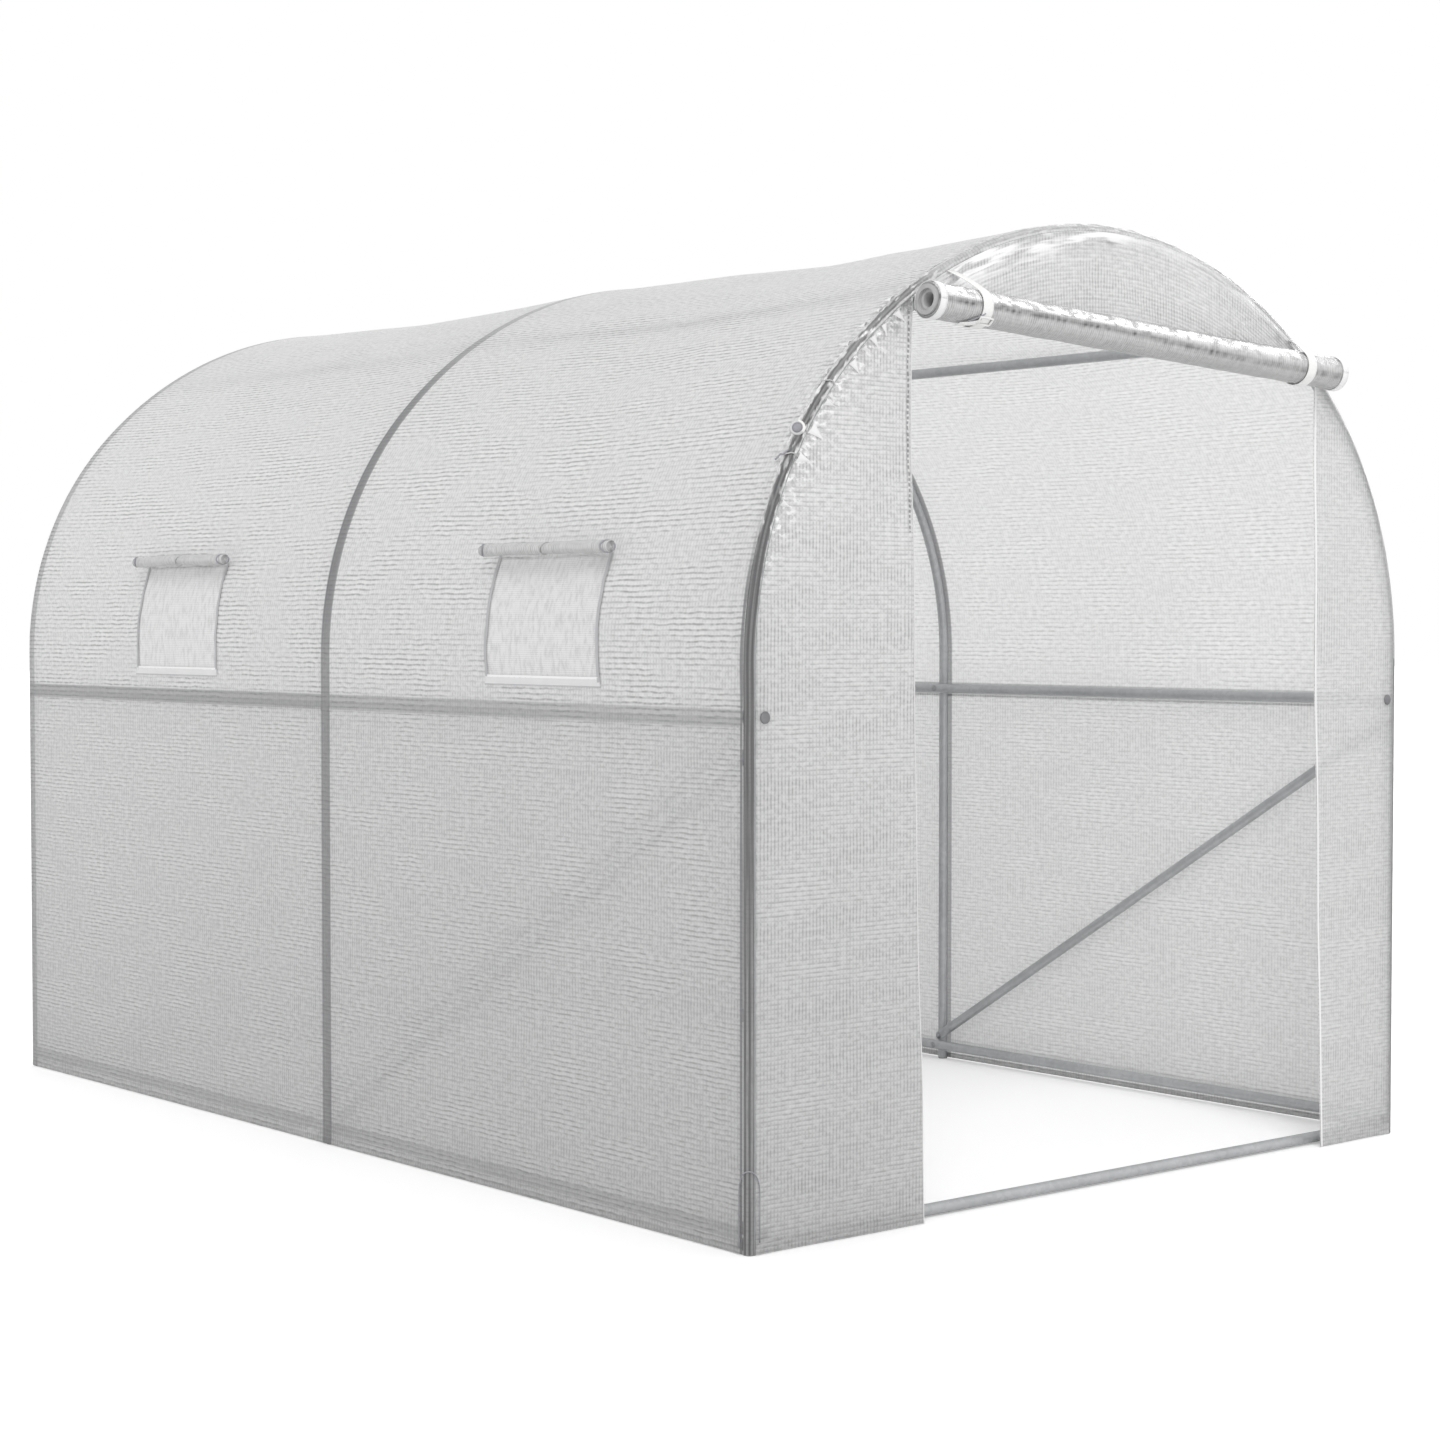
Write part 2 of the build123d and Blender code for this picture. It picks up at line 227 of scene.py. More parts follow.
def thicken(piece, thickness):
    """Gives a sheet its thickness, half of it on each side, for good."""
    modifier = piece.modifiers.new("thickness", "SOLIDIFY")
    modifier.thickness = thickness
    modifier.offset = 0.0
    shown = piece.evaluated_get(bpy.context.evaluated_depsgraph_get())
    old = piece.data
    piece.data = bpy.data.meshes.new_from_object(shown)
    piece.modifiers.clear()
    bpy.data.meshes.remove(old)


def ring_faces(count, sides, closed=False):
    """Faces between rings of points in a row, with both ends filled unless the row is closed."""
    faces = []
    for n in range(count if closed else count - 1):
        a, b = n * sides, ((n + 1) % count) * sides
        faces += [(a + k, a + (k + 1) % sides, b + (k + 1) % sides, b + k) for k in range(sides)]
    if not closed:
        faces.append(tuple(range(sides))[::-1])
        faces.append(tuple((count - 1) * sides + k for k in range(sides)))
    return faces


def circle(centre, side, up, radius, count):
    """Points of a circle between two directions."""
    turns = [2 * math.pi * k / count for k in range(count)]
    return [centre + (side * math.cos(a) + up * math.sin(a)) * radius for a in turns]


def tube_along(name, path, radius, material, sides=12, closed=False):
    """A round tube along a list of points."""
    count = len(path)
    verts = []
    side = None
    for n, p in enumerate(path):
        before = path[n - 1] if n or closed else path[0]
        after = path[(n + 1) % count] if n < count - 1 or closed else path[-1]
        along = (after - before).normalized()
        if side is None:
            side = along.orthogonal().normalized()
        side = (side - along * side.dot(along)).normalized()
        verts += circle(p, side, along.cross(side), radius, sides)
    return made(name, verts, ring_faces(count, sides, closed), material)


def turned(name, profile, centre, axis, material, sides=28):
    """A part turned from a profile of (radius, height) points, standing at centre along axis."""
    turn = Vector((0, 0, 1)).rotation_difference(axis).to_matrix()
    verts = []
    for r, h in profile:
        for k in range(sides):
            a = 2 * math.pi * k / sides
            verts.append(centre + turn @ Vector((r * math.cos(a), r * math.sin(a), h)))
    return made(name, verts, ring_faces(len(profile), sides), material)


def joined(name, pieces):
    """One object from several."""
    bpy.ops.object.select_all(action="DESELECT")
    for piece in pieces:
        piece.select_set(True)
    bpy.context.view_layer.objects.active = pieces[0]
    bpy.ops.object.join()
    pieces[0].name = name
    return pieces[0]


# Materials
class Nodes:
    """A node tree whose nodes are added one after another."""

    def __init__(self, tree, output):
        self.tree = tree
        tree.nodes.clear()
        self.output = tree.nodes.new(output)

    def add(self, kind, sockets=None, **settings):
        """A node with its settings, and with a link, number or colour in each of the sockets given."""
        node = self.tree.nodes.new(kind)
        for key, value in settings.items():
            setattr(node, key, value)
        for key, value in (sockets or {}).items():
            if isinstance(value, bpy.types.NodeSocket):
                self.tree.links.new(value, node.inputs[key])
            else:
                node.inputs[key].default_value = (*value, 1.0) if node.inputs[key].type == "RGBA" else value
        return node

    def math(self, operation, *values):
        return self.add("ShaderNodeMath", dict(enumerate(values)), operation=operation).outputs[0]

    def mixed(self, factor, a, b):
        return self.add("ShaderNodeMixShader", {"Fac": factor, 1: a, 2: b}).outputs[0]

    def show(self, surface_shader):
        self.tree.links.new(surface_shader, self.output.inputs["Surface"])


class Shader(Nodes):
    """A material."""

    def __init__(self, name):
        self.material = bpy.data.materials.new(name)
        self.material.use_nodes = True
        super().__init__(self.material.node_tree, "ShaderNodeOutputMaterial")
        self.places = self.add("ShaderNodeTexCoord").outputs

    def times(self, a, b):
        return self.math("MULTIPLY", a, b)

    def span(self, value, low, high, to_low=0.0, to_high=1.0, kind="SMOOTHSTEP"):
        sockets = {"Value": value, "From Min": low, "From Max": high, "To Min": to_low, "To Max": to_high}
        return self.add("ShaderNodeMapRange", sockets, interpolation_type=kind).outputs["Result"]

    def ramp(self, *values):
        return self.span(*values, kind="LINEAR")

    def blend(self, factor, a, b):
        return self.add("ShaderNodeMix", {"Factor": factor, 6: a, 7: b}, data_type="RGBA").outputs[2]

    def noise(self, where, scale, detail=2.0, rough=0.5, stretch=None):
        if stretch:
            where = self.add("ShaderNodeMapping", {"Scale": stretch, "Vector": where}).outputs["Vector"]
        sockets = {"Scale": scale, "Detail": detail, "Roughness": rough, "Vector": where}
        return self.add("ShaderNodeTexNoise", sockets).outputs["Fac"]

    def threads(self, where, axis, pitch, waviness):
        """Bands across the sheet, one a pitch, as the cords of the weave."""
        sockets = {"Scale": math.pi / 10 / pitch, "Distortion": waviness, "Detail": 1.0, "Detail Scale": 0.8,
                   "Vector": where}
        return self.add("ShaderNodeTexWave", sockets, wave_type="BANDS", bands_direction=axis,
                        wave_profile="SIN").outputs["Fac"]

    def bump(self, height, distance, strength):
        sockets = {"Strength": strength, "Distance": distance, "Height": height}
        return self.add("ShaderNodeBump", sockets).outputs["Normal"]

    def body(self, colour, rough, more):
        sockets = {"Base Color": colour, "Roughness": rough, **more}
        return self.add("ShaderNodeBsdfPrincipled", sockets).outputs[0]


def grey(level):
    return (level, level, level)


def woven_sheet(name, light, dark, pitch=(0.009, 0.009), lines=(0.8, 0.8), gap=0.0, glow=0.42,
                waviness=1.2, rough=0.40, crease=0.6, shaded_ground_tone=0.86, shade=(0.22, 0.22, 0.23),
                streaks=(1.0, 1.0, 1.0), shine=0.53, line=None, right_lines=1.0, lit_back_tone=1.0, matted=False):
    """Woven film: pale tapes with thin darker lines between them, along and across.

    Where the sheet lies on a tube (mark painted_shade) the tube's shade is painted on it, and where it is
    drawn together (mark drawn) it creases, with painted glints and painted shade in its hollows. A gap above
    0 lets things behind the sheet show through a little.
    A line, two points on the sheet, is where a brace presses on it from inside; along it the sheet is painted
    paler, a painted highlight. Towards the right the lines get fainter by right_lines, and towards the back
    the sheet gets paler by lit_back_tone, as painted light. A matted sheet loses its gloss where the mark
    painted_shade is.
    """
    s = Shader(name)
    uv = s.places["UV"]
    place = s.add("ShaderNodeSeparateXYZ", {0: s.places["Object"]}).outputs
    # Painted shade: the mark over tubes under the sheet, over creases and over undersides
    painted_shade = s.add("ShaderNodeAttribute", attribute_name="painted_shade").outputs["Fac"]
    # The mark drawn: how crinkled the sheet is, for real creases and for painted glints and painted hollow
    # shade
    drawn = s.add("ShaderNodeAttribute", attribute_name="drawn").outputs["Fac"]

    # Weave: lines both ways, stronger in patches, broken by fine noise
    patches = s.noise(uv, 8.0, 2.0, 0.6, (0.6, 1.5, 1.0))
    across = s.threads(uv, "X", pitch[0], waviness)
    along = s.threads(uv, "Y", pitch[1], waviness)
    fine = s.noise(uv, 105.0, 1.0, 0.6, (0.55, 1.0, 1.0))
    upright = s.times(s.ramp(across, 0.45, 0.95), s.ramp(patches, 0.62, 0.38, 0.3 * lines[0], lines[0]))
    level = s.times(s.ramp(along, 0.48, 0.95), s.ramp(patches, 0.36, 0.60, 0.30 * lines[1], 1.15 * lines[1]))
    weave = s.times(s.math("MAXIMUM", upright, level), s.ramp(fine, 0.62, 0.40, 0.58, 1.08))
    if right_lines < 1.0:
        weave = s.times(weave, s.ramp(place["X"], -0.3, 0.7, 1.0, right_lines))

    # Tone: uneven at random, darker towards the ground as painted shade, paler over the brace as a painted
    # highlight
    tone = s.times(s.ramp(patches, 0.3, 0.7, 0.97, 1.03), s.ramp(fine, 0.3, 0.7, 0.94, 1.06))
    if line:
        (y0, s0), (y1, s1) = line
        reach = math.hypot(y1 - y0, s1 - s0)
        normal = ((s0 - s1) / reach, (y1 - y0) / reach, 0.0)
        off = s.add("ShaderNodeVectorMath", {0: uv, 1: normal}, operation="DOT_PRODUCT").outputs["Value"]
        away = s.math("ABSOLUTE", s.math("SUBTRACT", off, y0 * normal[0] + s0 * normal[1]))
        tone = s.times(tone, s.span(away, 0.020, 0.008, 1.0, 1.09))
    tone = s.times(tone, s.ramp(place["Z"], 0.0, 1.5, shaded_ground_tone, 1.0))
    # Painted light: the sheet gets paler towards the back
    if lit_back_tone > 1.0:
        tone = s.times(tone, s.ramp(place["Y"], -0.7, 1.2, 1.0, lit_back_tone))
    toned = s.add("ShaderNodeVectorMath", {0: s.blend(weave, light, dark), "Scale": tone},
                  operation="SCALE").outputs[0]

    # Marks: painted shade over the tubes, and where the sheet is drawn together painted glints (white, with a
    # metallic reflection) and painted shade in the hollows
    ridges = s.noise(uv, 38.0, 2.0, 0.6, streaks)
    glint = s.times(drawn, s.span(ridges, shine - 0.02, shine + 0.11))
    hollow_shade = s.times(drawn, s.span(ridges, shine - 0.09, shine - 0.17, 0.0, 0.45))
    shaded = s.blend(hollow_shade, s.blend(painted_shade, toned, shade), tuple(c * 0.60 for c in light))
    colour = s.blend(glint, shaded, grey(1.0))
    creases = s.noise(uv, 14.0, 2.0, 0.6, (0.4, 1.8, 1.0))
    relief = s.times(creases, s.math("MULTIPLY_ADD", drawn, 1.5, crease))
    relief = s.math("MULTIPLY_ADD", along, -0.16, relief)
    gloss = s.ramp(painted_shade, 0.10, 0.60, 0.5, 0.05) if matted else 0.5
    body = s.body(colour, rough, {"Specular IOR Level": gloss, "Metallic": s.times(glint, 0.8),
                                  "Normal": s.bump(relief, 0.006, 0.8)})
    through = s.add("ShaderNodeBsdfTranslucent", {"Color": colour}).outputs[0]
    # Painted highlight: less light passes through where the glints are painted, so they show brighter
    sheet = s.mixed(s.math("MULTIPLY_ADD", glint, -glow, glow), body, through)
    if gap:
        sheet = s.mixed(gap, sheet, s.add("ShaderNodeBsdfTransparent").outputs[0])
        s.material.use_transparent_shadow = False
    s.show(sheet)
    return s.material


def plain_cloth(name, colour, dark, pitch=0.002, waviness=0.6):
    """Folded hems and webbing: fine ribs, with uneven tone."""
    s = Shader(name)
    uv = s.places["UV"]
    ribs = s.math("MAXIMUM", s.threads(uv, "X", pitch, waviness), s.threads(uv, "Y", pitch, waviness))
    tone = s.noise(uv, 30.0, 3.0, 0.6)
    mixed = s.times(s.span(ribs, 0.3, 1.0, 0.35, 1.0), s.span(tone, 0.2, 0.8, 0.6, 1.0))
    uneven = s.bump(s.math("ADD", ribs, tone), 0.0006, 0.5)
    s.show(s.body(s.blend(mixed, dark, colour), 0.6, {"Normal": uneven}))
    return s.material


def metal_tube(name, colour, dark):
    """Galvanised tube: soft spangle and duller patches."""
    s = Shader(name)
    where = s.places["Object"]
    cells = s.add("ShaderNodeTexVoronoi", {"Scale": 90.0, "Vector": where}).outputs["Color"]
    patch = s.noise(where, 6.0, 4.0, 0.6)
    tone = s.times(s.span(s.span(cells, 0.0, 1.0), 0.0, 1.0, 0.75, 1.0), s.span(patch, 0.25, 0.75, 0.6, 1.0))
    s.show(s.body(s.blend(tone, dark, colour), s.span(patch, 0.2, 0.8, 0.34, 0.52),
                  {"Metallic": 0.75, "Normal": s.bump(s.noise(where, 220.0, 2.0), 0.0003, 0.35)}))
    return s.material


def moulded_plastic(name, colour, dark):
    """Moulded plastic with a fine grain and slight soiling."""
    s = Shader(name)
    where = s.places["Object"]
    tone = s.span(s.noise(where, 25.0, 4.0, 0.6), 0.25, 0.75)
    uneven = s.bump(s.noise(where, 600.0, 2.0), 0.0002, 0.4)
    s.show(s.body(s.blend(tone, dark, colour), 0.5, {"Normal": uneven}))
    return s.material


def insect_mesh(name, colour, pitch, gap):
    """Fine open net of the windows."""
    s = Shader(name)
    uv = s.places["UV"]
    net = s.math("MAXIMUM", *(s.span(s.threads(uv, axis, pitch, 0.3), 0.45, 0.8) for axis in "XY"))
    cloud = s.span(s.noise(uv, 70.0, 3.0, 0.65, (1.3, 0.45, 1.0)), 0.3, 0.6)
    body = s.body(s.blend(cloud, tuple(c * 0.78 for c in colour), colour), 0.6, {})
    open_share = s.times(s.math("SUBTRACT", 1.0, s.times(net, 0.75)), gap)
    s.show(s.mixed(open_share, body, s.add("ShaderNodeBsdfTransparent").outputs[0]))
    return s.material


upper_cover = woven_sheet("upper_cover", grey(0.83), grey(0.42), pitch=(0.0095, 0.0112), lines=(0.36, 0.76),
                          waviness=1.7, crease=0.8, streaks=(1.6, 2.2, 1.0), right_lines=0.55, lit_back_tone=1.05)
# The lower cover is the same film as the upper one, written darker as painted shade below the mid rail; it
# also lets a little through
shaded_lower_cover = woven_sheet("shaded_lower_cover", grey(0.76), (0.36, 0.365, 0.36), pitch=(0.0095, 0.0100),
                          lines=(0.50, 0.58), gap=0.03, waviness=1.6, shaded_ground_tone=0.79, right_lines=0.7,
                          lit_back_tone=1.10, line=((HOOPS[0], BRACE_TOP), (HOOPS[1], BRACE_FOOT)))
front_cover = woven_sheet("front_cover", grey(0.85), grey(0.40), gap=0.03, lines=(0.66, 0.46), waviness=1.0,
                          crease=0.5, shaded_ground_tone=0.76, streaks=(1.5, 2.4, 1.0))
right_cover = woven_sheet("right_cover", grey(0.82), grey(0.46), gap=0.14, lines=(0.6, 0.45), waviness=1.0,
                          crease=0.5, shaded_ground_tone=0.92, streaks=(1.5, 2.4, 1.0))
lunette_cover = woven_sheet("lunette_cover", grey(0.84), grey(0.52), glow=0.40, lines=(0.75, 0.30),
                            waviness=0.8, rough=0.28, crease=0.9, shaded_ground_tone=1.0, streaks=(0.16, 1.5, 1.0),
                            shine=0.44)
roll_cover = woven_sheet("roll_cover", grey(0.62), grey(0.30), pitch=(0.010, 0.0062), glow=0.06,
                         lines=(0.25, 0.60), waviness=1.4, rough=0.22, crease=1.2, shaded_ground_tone=1.0,
                         streaks=(1.8, 0.8, 1.0), shine=0.42, shade=grey(0.10), matted=True)
seam_cover = woven_sheet("seam_cover", grey(0.80), grey(0.50), glow=0.25, lines=(0.5, 0.5), rough=0.30,
                         crease=0.9, shaded_ground_tone=0.9, shade=(0.120, 0.120, 0.124), streaks=(1.0, 2.0, 1.0))
hem_cloth = plain_cloth("hem_cloth", grey(0.76), grey(0.62))
white_hem = plain_cloth("white_hem", grey(0.92), grey(0.80))
window_hem = plain_cloth("window_hem", (0.52, 0.52, 0.53), (0.36, 0.36, 0.38))
zip_cloth = plain_cloth("zip_cloth", grey(0.80), (0.06, 0.06, 0.065), pitch=0.011, waviness=4.0)
webbing = plain_cloth("webbing", (0.93, 0.93, 0.92), (0.78, 0.78, 0.77), pitch=0.0025)
string_cloth = plain_cloth("string_cloth", (0.70, 0.70, 0.69), grey(0.45), pitch=0.0015)
window_net = insect_mesh("window_net", grey(0.72), pitch=0.0045, gap=0.25)
tube_metal = metal_tube("tube_metal", (0.56, 0.57, 0.58), (0.34, 0.35, 0.36))
bolt_metal = metal_tube("bolt_metal", (0.45, 0.46, 0.47), (0.24, 0.25, 0.26))
grey_plastic = moulded_plastic("grey_moulding", grey(0.46), grey(0.36))
ring_plastic = moulded_plastic("ring_moulding", grey(0.66), grey(0.50))
white_plastic = moulded_plastic("white_moulding", (0.86, 0.86, 0.85), (0.74, 0.74, 0.73))
rim_plastic = moulded_plastic("rim_moulding", (0.34, 0.34, 0.37), (0.24, 0.24, 0.26))
dark_plastic = moulded_plastic("dark_moulding", (0.22, 0.22, 0.23), (0.14, 0.14, 0.15))

for name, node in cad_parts.items():
    chosen = grey_plastic if name in ("hoop_feet", "door_roll_tube") else tube_metal
    if not node.material_slots:
        node.data.materials.append(chosen)
    for slot_of_node in node.material_slots:
        slot_of_node.material = chosen


# Cover over the hoops
def bay_place(y):
    """How far between two hoops a point is, from 0 at one to 1 at the next."""
    return min(1.0, max(0.0, ((y - HOOPS[0]) / BAY) % 1.0)) if y < HOOPS[2] else 0.0


def cover_lift(s, y):
    """How far the cover stands outside the hoop line: tight over hoops, hanging in between them."""
    t = bay_place(y)
    hang = 4 * t * (1 - t)
    from_ground = to_ground(s)
    arched = smooth(0.75, 1.5, from_ground)
    grounded = smooth(0.0, 0.35, from_ground)
    sag = hang * (0.003 + 0.013 * arched) * (0.35 + 0.65 * grounded)
    loose = hang * grounded * 0.0060 * grain(y * 1.9 + 3.0, s * 1.4, 5.0)
    ripple = hang * grounded * 0.0014 * grain(y * 3.0, s * 9.0, 1.0)
    fold = 1.0 - abs(grain(y * 1.1 + s * 0.9, s * 2.6 - y * 0.8, 15.0)) * 5.0
    folds = hang * arched * 0.0034 * max(0.0, fold)
    near_front = math.exp(-(y - COVER_FRONT) / 0.05)
    pucker = near_front * 0.0026 * smooth(1.2, 1.6, from_ground) * max(0.0, grain(s * 26.0, y * 6.0, 9.0))
    upright = 0.0024 * math.exp(-(y - COVER_FRONT) / 0.055) * smooth(0.5, 1.1, from_ground)
    upright *= grain(y * 75.0 + 2.0 * grain(s * 4.0, 3.0), s * 3.5, 33.0) if y < COVER_FRONT + 0.2 else 0.0
    return COVER_LIFT - sag + loose + ripple + folds + pucker + upright


window_lines = (line_at_height(WINDOW_LOW), line_at_height(WINDOW_HIGH))
window_rise = window_lines[1] - window_lines[0]


def window_pull(s, y):
    """How far the sheet is drawn along the tunnel beside a window, so that its sides curve."""
    t = (s - window_lines[0]) / window_rise
    off = min(abs(y - middle) for middle in WINDOW_YS) - WINDOW_WIDTH / 2
    fade = smooth(-0.35, 0.0, t) * (1 - smooth(1.0, 1.4, t)) * (1 - smooth(0.0, 0.12, off))
    bow = math.sin(math.pi * min(1.0, max(0.0, t)))
    return fade * (0.005 + 0.010 * bow + 0.004 * grain(s * 17.0, y * 4.0, 8.0))


def cover_point(s, y, proud=0.0):
    """A point of the cover, or of what stands proud of it."""
    return off_line(s, y + window_pull(s, y), cover_lift(s, y) + proud)


window_edges = [y + sign * WINDOW_WIDTH / 2 for y in WINDOW_YS for sign in (-1, 1)]
rail_lines = (RAIL_Z, LINE - RAIL_Z)
base_lines = (BASE_Z, LINE - BASE_Z)

# Columns of the mesh over a tube, and how much wider than a tube its painted shade on the sheet is
BAND_LINES = (-0.0140, -0.0112, -0.006, 0.006, 0.0112, 0.0140)
HOOP_SPREAD = 1.45
RAIL_SPREAD = 1.25


def band(middle, spread=1.0):
    """Columns or rows of the mesh over one tube."""
    return [middle + spread * step for step in (0.0, *BAND_LINES)]


def tube_shadow(distance, edge, middle, spread=1.0):
    """Darkening of a sheet over a tube, by the distance from the tube's middle: darker at its edges."""
    across = abs(distance) / spread
    if across >= 0.0139:
        return 0.0
    return middle + (edge - middle) * smooth(0.005, 0.0112, across)


def cover_painted_shade(y, s):
    """Painted shade: how much the tubes under it darken the cover."""
    from_ground = to_ground(s)
    low = 1.0 - smooth(1.25, 1.45, from_ground)
    high = 1.0 - 0.62 * smooth(1.70, 2.45, from_ground)
    shoulder = smooth(1.10, 1.30, from_ground) * (1.0 - smooth(1.75, 2.20, from_ground))
    edge = 0.80 + 0.18 * shoulder if y > HOOPS[1] else 0.78
    shadow = max(high * tube_shadow(y - HOOPS[1], edge, 0.60 + 0.22 * shoulder, HOOP_SPREAD),
                 tube_shadow(y - HOOPS[2], 0.42, 0.30),
                 low * tube_shadow(y - HOOPS[0], 0.85, 0.75))
    along = 0.62 + 0.20 * smooth(-1.3, 0.0, y) if y < HOOPS[1] else 1.0
    for rail_s in rail_lines:
        shadow = max(shadow, along * tube_shadow(s - rail_s, 0.62, 0.52, RAIL_SPREAD))
    for base_s in base_lines:
        shadow = max(shadow, tube_shadow(s - base_s, 0.30, 0.22))
    return shadow


def cover_crinkle_glint(y, s):
    """How much the cover is drawn together beside the front hoop, for creases, painted glints and painted
    hollow shade.
    """
    from_ground = to_ground(s)
    side = 1.0 if s < CALM_SEAM else 0.2
    return 0.75 * side * math.exp(-(y - COVER_FRONT) / 0.03) * smooth(1.30, 1.60, from_ground)


def in_window(y, s):
    """Whether a place on the cover lies in a window opening."""
    if not window_lines[0] < s < window_lines[1]:
        return False
    return any(abs(y - middle) < WINDOW_WIDTH / 2 for middle in WINDOW_YS)


near_tubes = band(HOOPS[0]) + band(HOOPS[1], HOOP_SPREAD) + band(HOOPS[2])
near_rails = [row for s in base_lines for row in band(s)]
near_rails += [row for s in rail_lines for row in band(s, RAIL_SPREAD)]
near_seam = [COVER_FRONT + 0.0185 + 0.004 * n for n in range(24)]
cover_ys = stops(COVER_FRONT, COVER_BACK, GRID_STEP, keep=[*window_edges, *near_tubes, *near_seam])
cover_ss = stops(*LINE_ENDS, GRID_STEP, keep=[*window_lines, *near_rails])
main_cover = surface("main_cover", cover_ys, cover_ss, lambda y, s: cover_point(s, y), upper_cover,
                     skip=in_window, marks={"painted_shade": cover_painted_shade, "drawn": cover_crinkle_glint})
# Faces below the mid rail get the darker copy of the film, as painted shade
main_cover.data.materials.append(shaded_lower_cover)
for polygon in main_cover.data.polygons:
    if polygon.center.z < RAIL_Z and abs(polygon.center.x) > 0.9:
        polygon.material_index = 1

# Strips sewn on the cover: a hem along the ground and one under each mid rail
cover_hems = []
for side, (edge, rail_s, towards) in {"left": (LINE_ENDS[0], rail_lines[0], 1),
                                      "right": (LINE_ENDS[1], rail_lines[1], -1)}.items():
    lengthwise = stops(HOOPS[0] + 0.016, COVER_BACK, 0.03, keep=near_tubes)
    for part, origin, low, high, material in (("ground_hem", edge, 0.0, 0.014, shaded_lower_cover),
                                              ("rail_hem", rail_s, -0.022, -0.0165, upper_cover)):
        ends = sorted((origin + low * towards, origin + high * towards))
        # The strips carry the cover's painted shade of the tubes under them
        strip = surface(f"{side}_{part}", lengthwise, stops(*ends, 0.006),
                        lambda y, s: cover_point(s, y, 0.0008), material, marks={"painted_shade": cover_painted_shade})
        cover_hems.append(strip)


# End sheets
def pleat(from_edge, along):
    """Small folds where a front sheet is drawn over the hoop."""
    depth = math.exp(-max(0.0, from_edge) / 0.06) * smooth(1.0, 1.5, along)
    return 0.0055 * depth * grain(along * 26.0, from_edge * 6.0, 2.0)


def inner_edge(side, z):
    """The edge of a front flap along the doorway, which leans out towards the ground."""
    low, high = (-0.548, -0.584) if side < 0 else (0.732, 0.690)
    return high + (low - high) * (1 - min(1.0, z / 1.6)) ** 1.6


def flap_x(side, u, z):
    """Where a front flap is at height z: u is 0 at the hoop and 1 along the doorway."""
    outer = side * (arch_half_width(z) - 0.003)
    inner = inner_edge(side, z)
    if (outer - inner) * side < 0.004:
        inner = outer - side * 0.004
    return outer + (inner - outer) * u


def flap_y(side, u, z, x):
    """How far forward a front flap lies: pleats at the hoop, a loose and wavy edge at the doorway."""
    from_edge = abs(abs(x) - arch_half_width(z))
    hang = math.sin(math.pi * u) * 0.007 * grain(x * 2.5, z * 1.3, 7.0)
    free = u ** 2 * 0.011 * grain(z * 2.1, side * 4.0, 3.0) * smooth(0.0, 0.4, z)
    upright = 0.0016 * u * math.sin(x * 150.0 + 2.0 * grain(z, 1.0, 1.0)) * smooth(0.5, 1.6, z)
    y = FRONT_Y - abs(pleat(from_edge, z)) + hang + free + upright - 0.003 * u
    return min(y, FRONT_Y + 0.003)


def flap_point(side, proud=0.0):
    def point(u, z):
        x = flap_x(side, u, z)
        return (x, flap_y(side, u, z, x) - proud, z)
    return point


# How much a front flap is drawn together near the hoop: for creases, painted glints and painted hollow shade
def flap_crinkle_glint(side):
    def drawn(u, z):
        from_edge = abs(flap_x(side, u, z) - side * arch_half_width(z))
        near = 1.4 * math.exp(-from_edge / 0.028) + 0.55 * math.exp(-from_edge / 0.12) * smooth(1.30, 1.45, z)
        return min(1.0, near) * smooth(1.15, 1.45, z) * (1.0 if side < 0 else 0.2)
    return drawn


def flap_painted_shade(side):
    """Painted shade: a grey band where the hoop's tube shows through the right flap, and dark crumples at the
    top of the left one.
    """
    def painted_shade(u, z):
        if side < 0:
            x = flap_x(side, u, z)
            return 0.60 * smooth(1.770, 1.825, z) * smooth(0.02, 0.26, grain(x * 55.0, z * 24.0, 3.0))
        return 0.34 * (1.0 - smooth(0.008, 0.017, inside_hoop(flap_x(side, u, z), z)))
    return painted_shade


def lay_flat(piece):
    """Lays the weave of an upright sheet level and plumb."""
    for loop, corner in zip(piece.data.loops, piece.data.uv_layers[0].data):
        spot = piece.data.vertices[loop.vertex_index].co
        corner.uv = (spot.x, spot.z)


flap_tops = {-1: arch_height(-0.584, -0.002), 1: arch_height(0.690, -0.002)}
flaps, flap_hems = [], []
for side, name in ((-1, "left"), (1, "right")):
    cover = front_cover if side < 0 else right_cover
    flap = surface(f"{name}_flap", stops(0.0, 1.0, 0.022), stops(SHEET_FOOT, flap_tops[side], 0.011),
                   flap_point(side), cover,
                   marks={"drawn": flap_crinkle_glint(side), "painted_shade": flap_painted_shade(side)})
    lay_flat(flap)
    flaps.append(flap)

    def hem_point(w, z, side=side):
        x = inner_edge(side, z) + side * w
        u = 1.0 - w / max(0.02, abs(arch_half_width(z) - abs(inner_edge(side, z))))
        return (x, flap_y(side, u, z, x) - 0.0010, z)

    reach = flap_tops[side] - 0.03
    if side < 0:
        strips = (("zip", 0.007, 0.014, 1.40, reach, zip_cloth),
                  ("edge", 0.0, 0.003, 0.002, reach, hem_cloth))
    else:
        strips = (("zip", 0.003, 0.009, 0.002, reach, white_hem),)
    for part, near, far, low, high, material in strips:
        flap_hems.append(surface(f"{name}_flap_{part}", stops(near, far, 0.004), stops(low, high, 0.02),
                                 hem_point, material))

    foot = surface(f"{name}_flap_foot", stops(0.0, 1.0, 0.04), stops(SHEET_FOOT, 0.026, 0.006),
                   flap_point(side, 0.0009), cover)
    lay_flat(foot)
    flap_hems.append(foot)
front_left_flap, front_right_flap = flaps


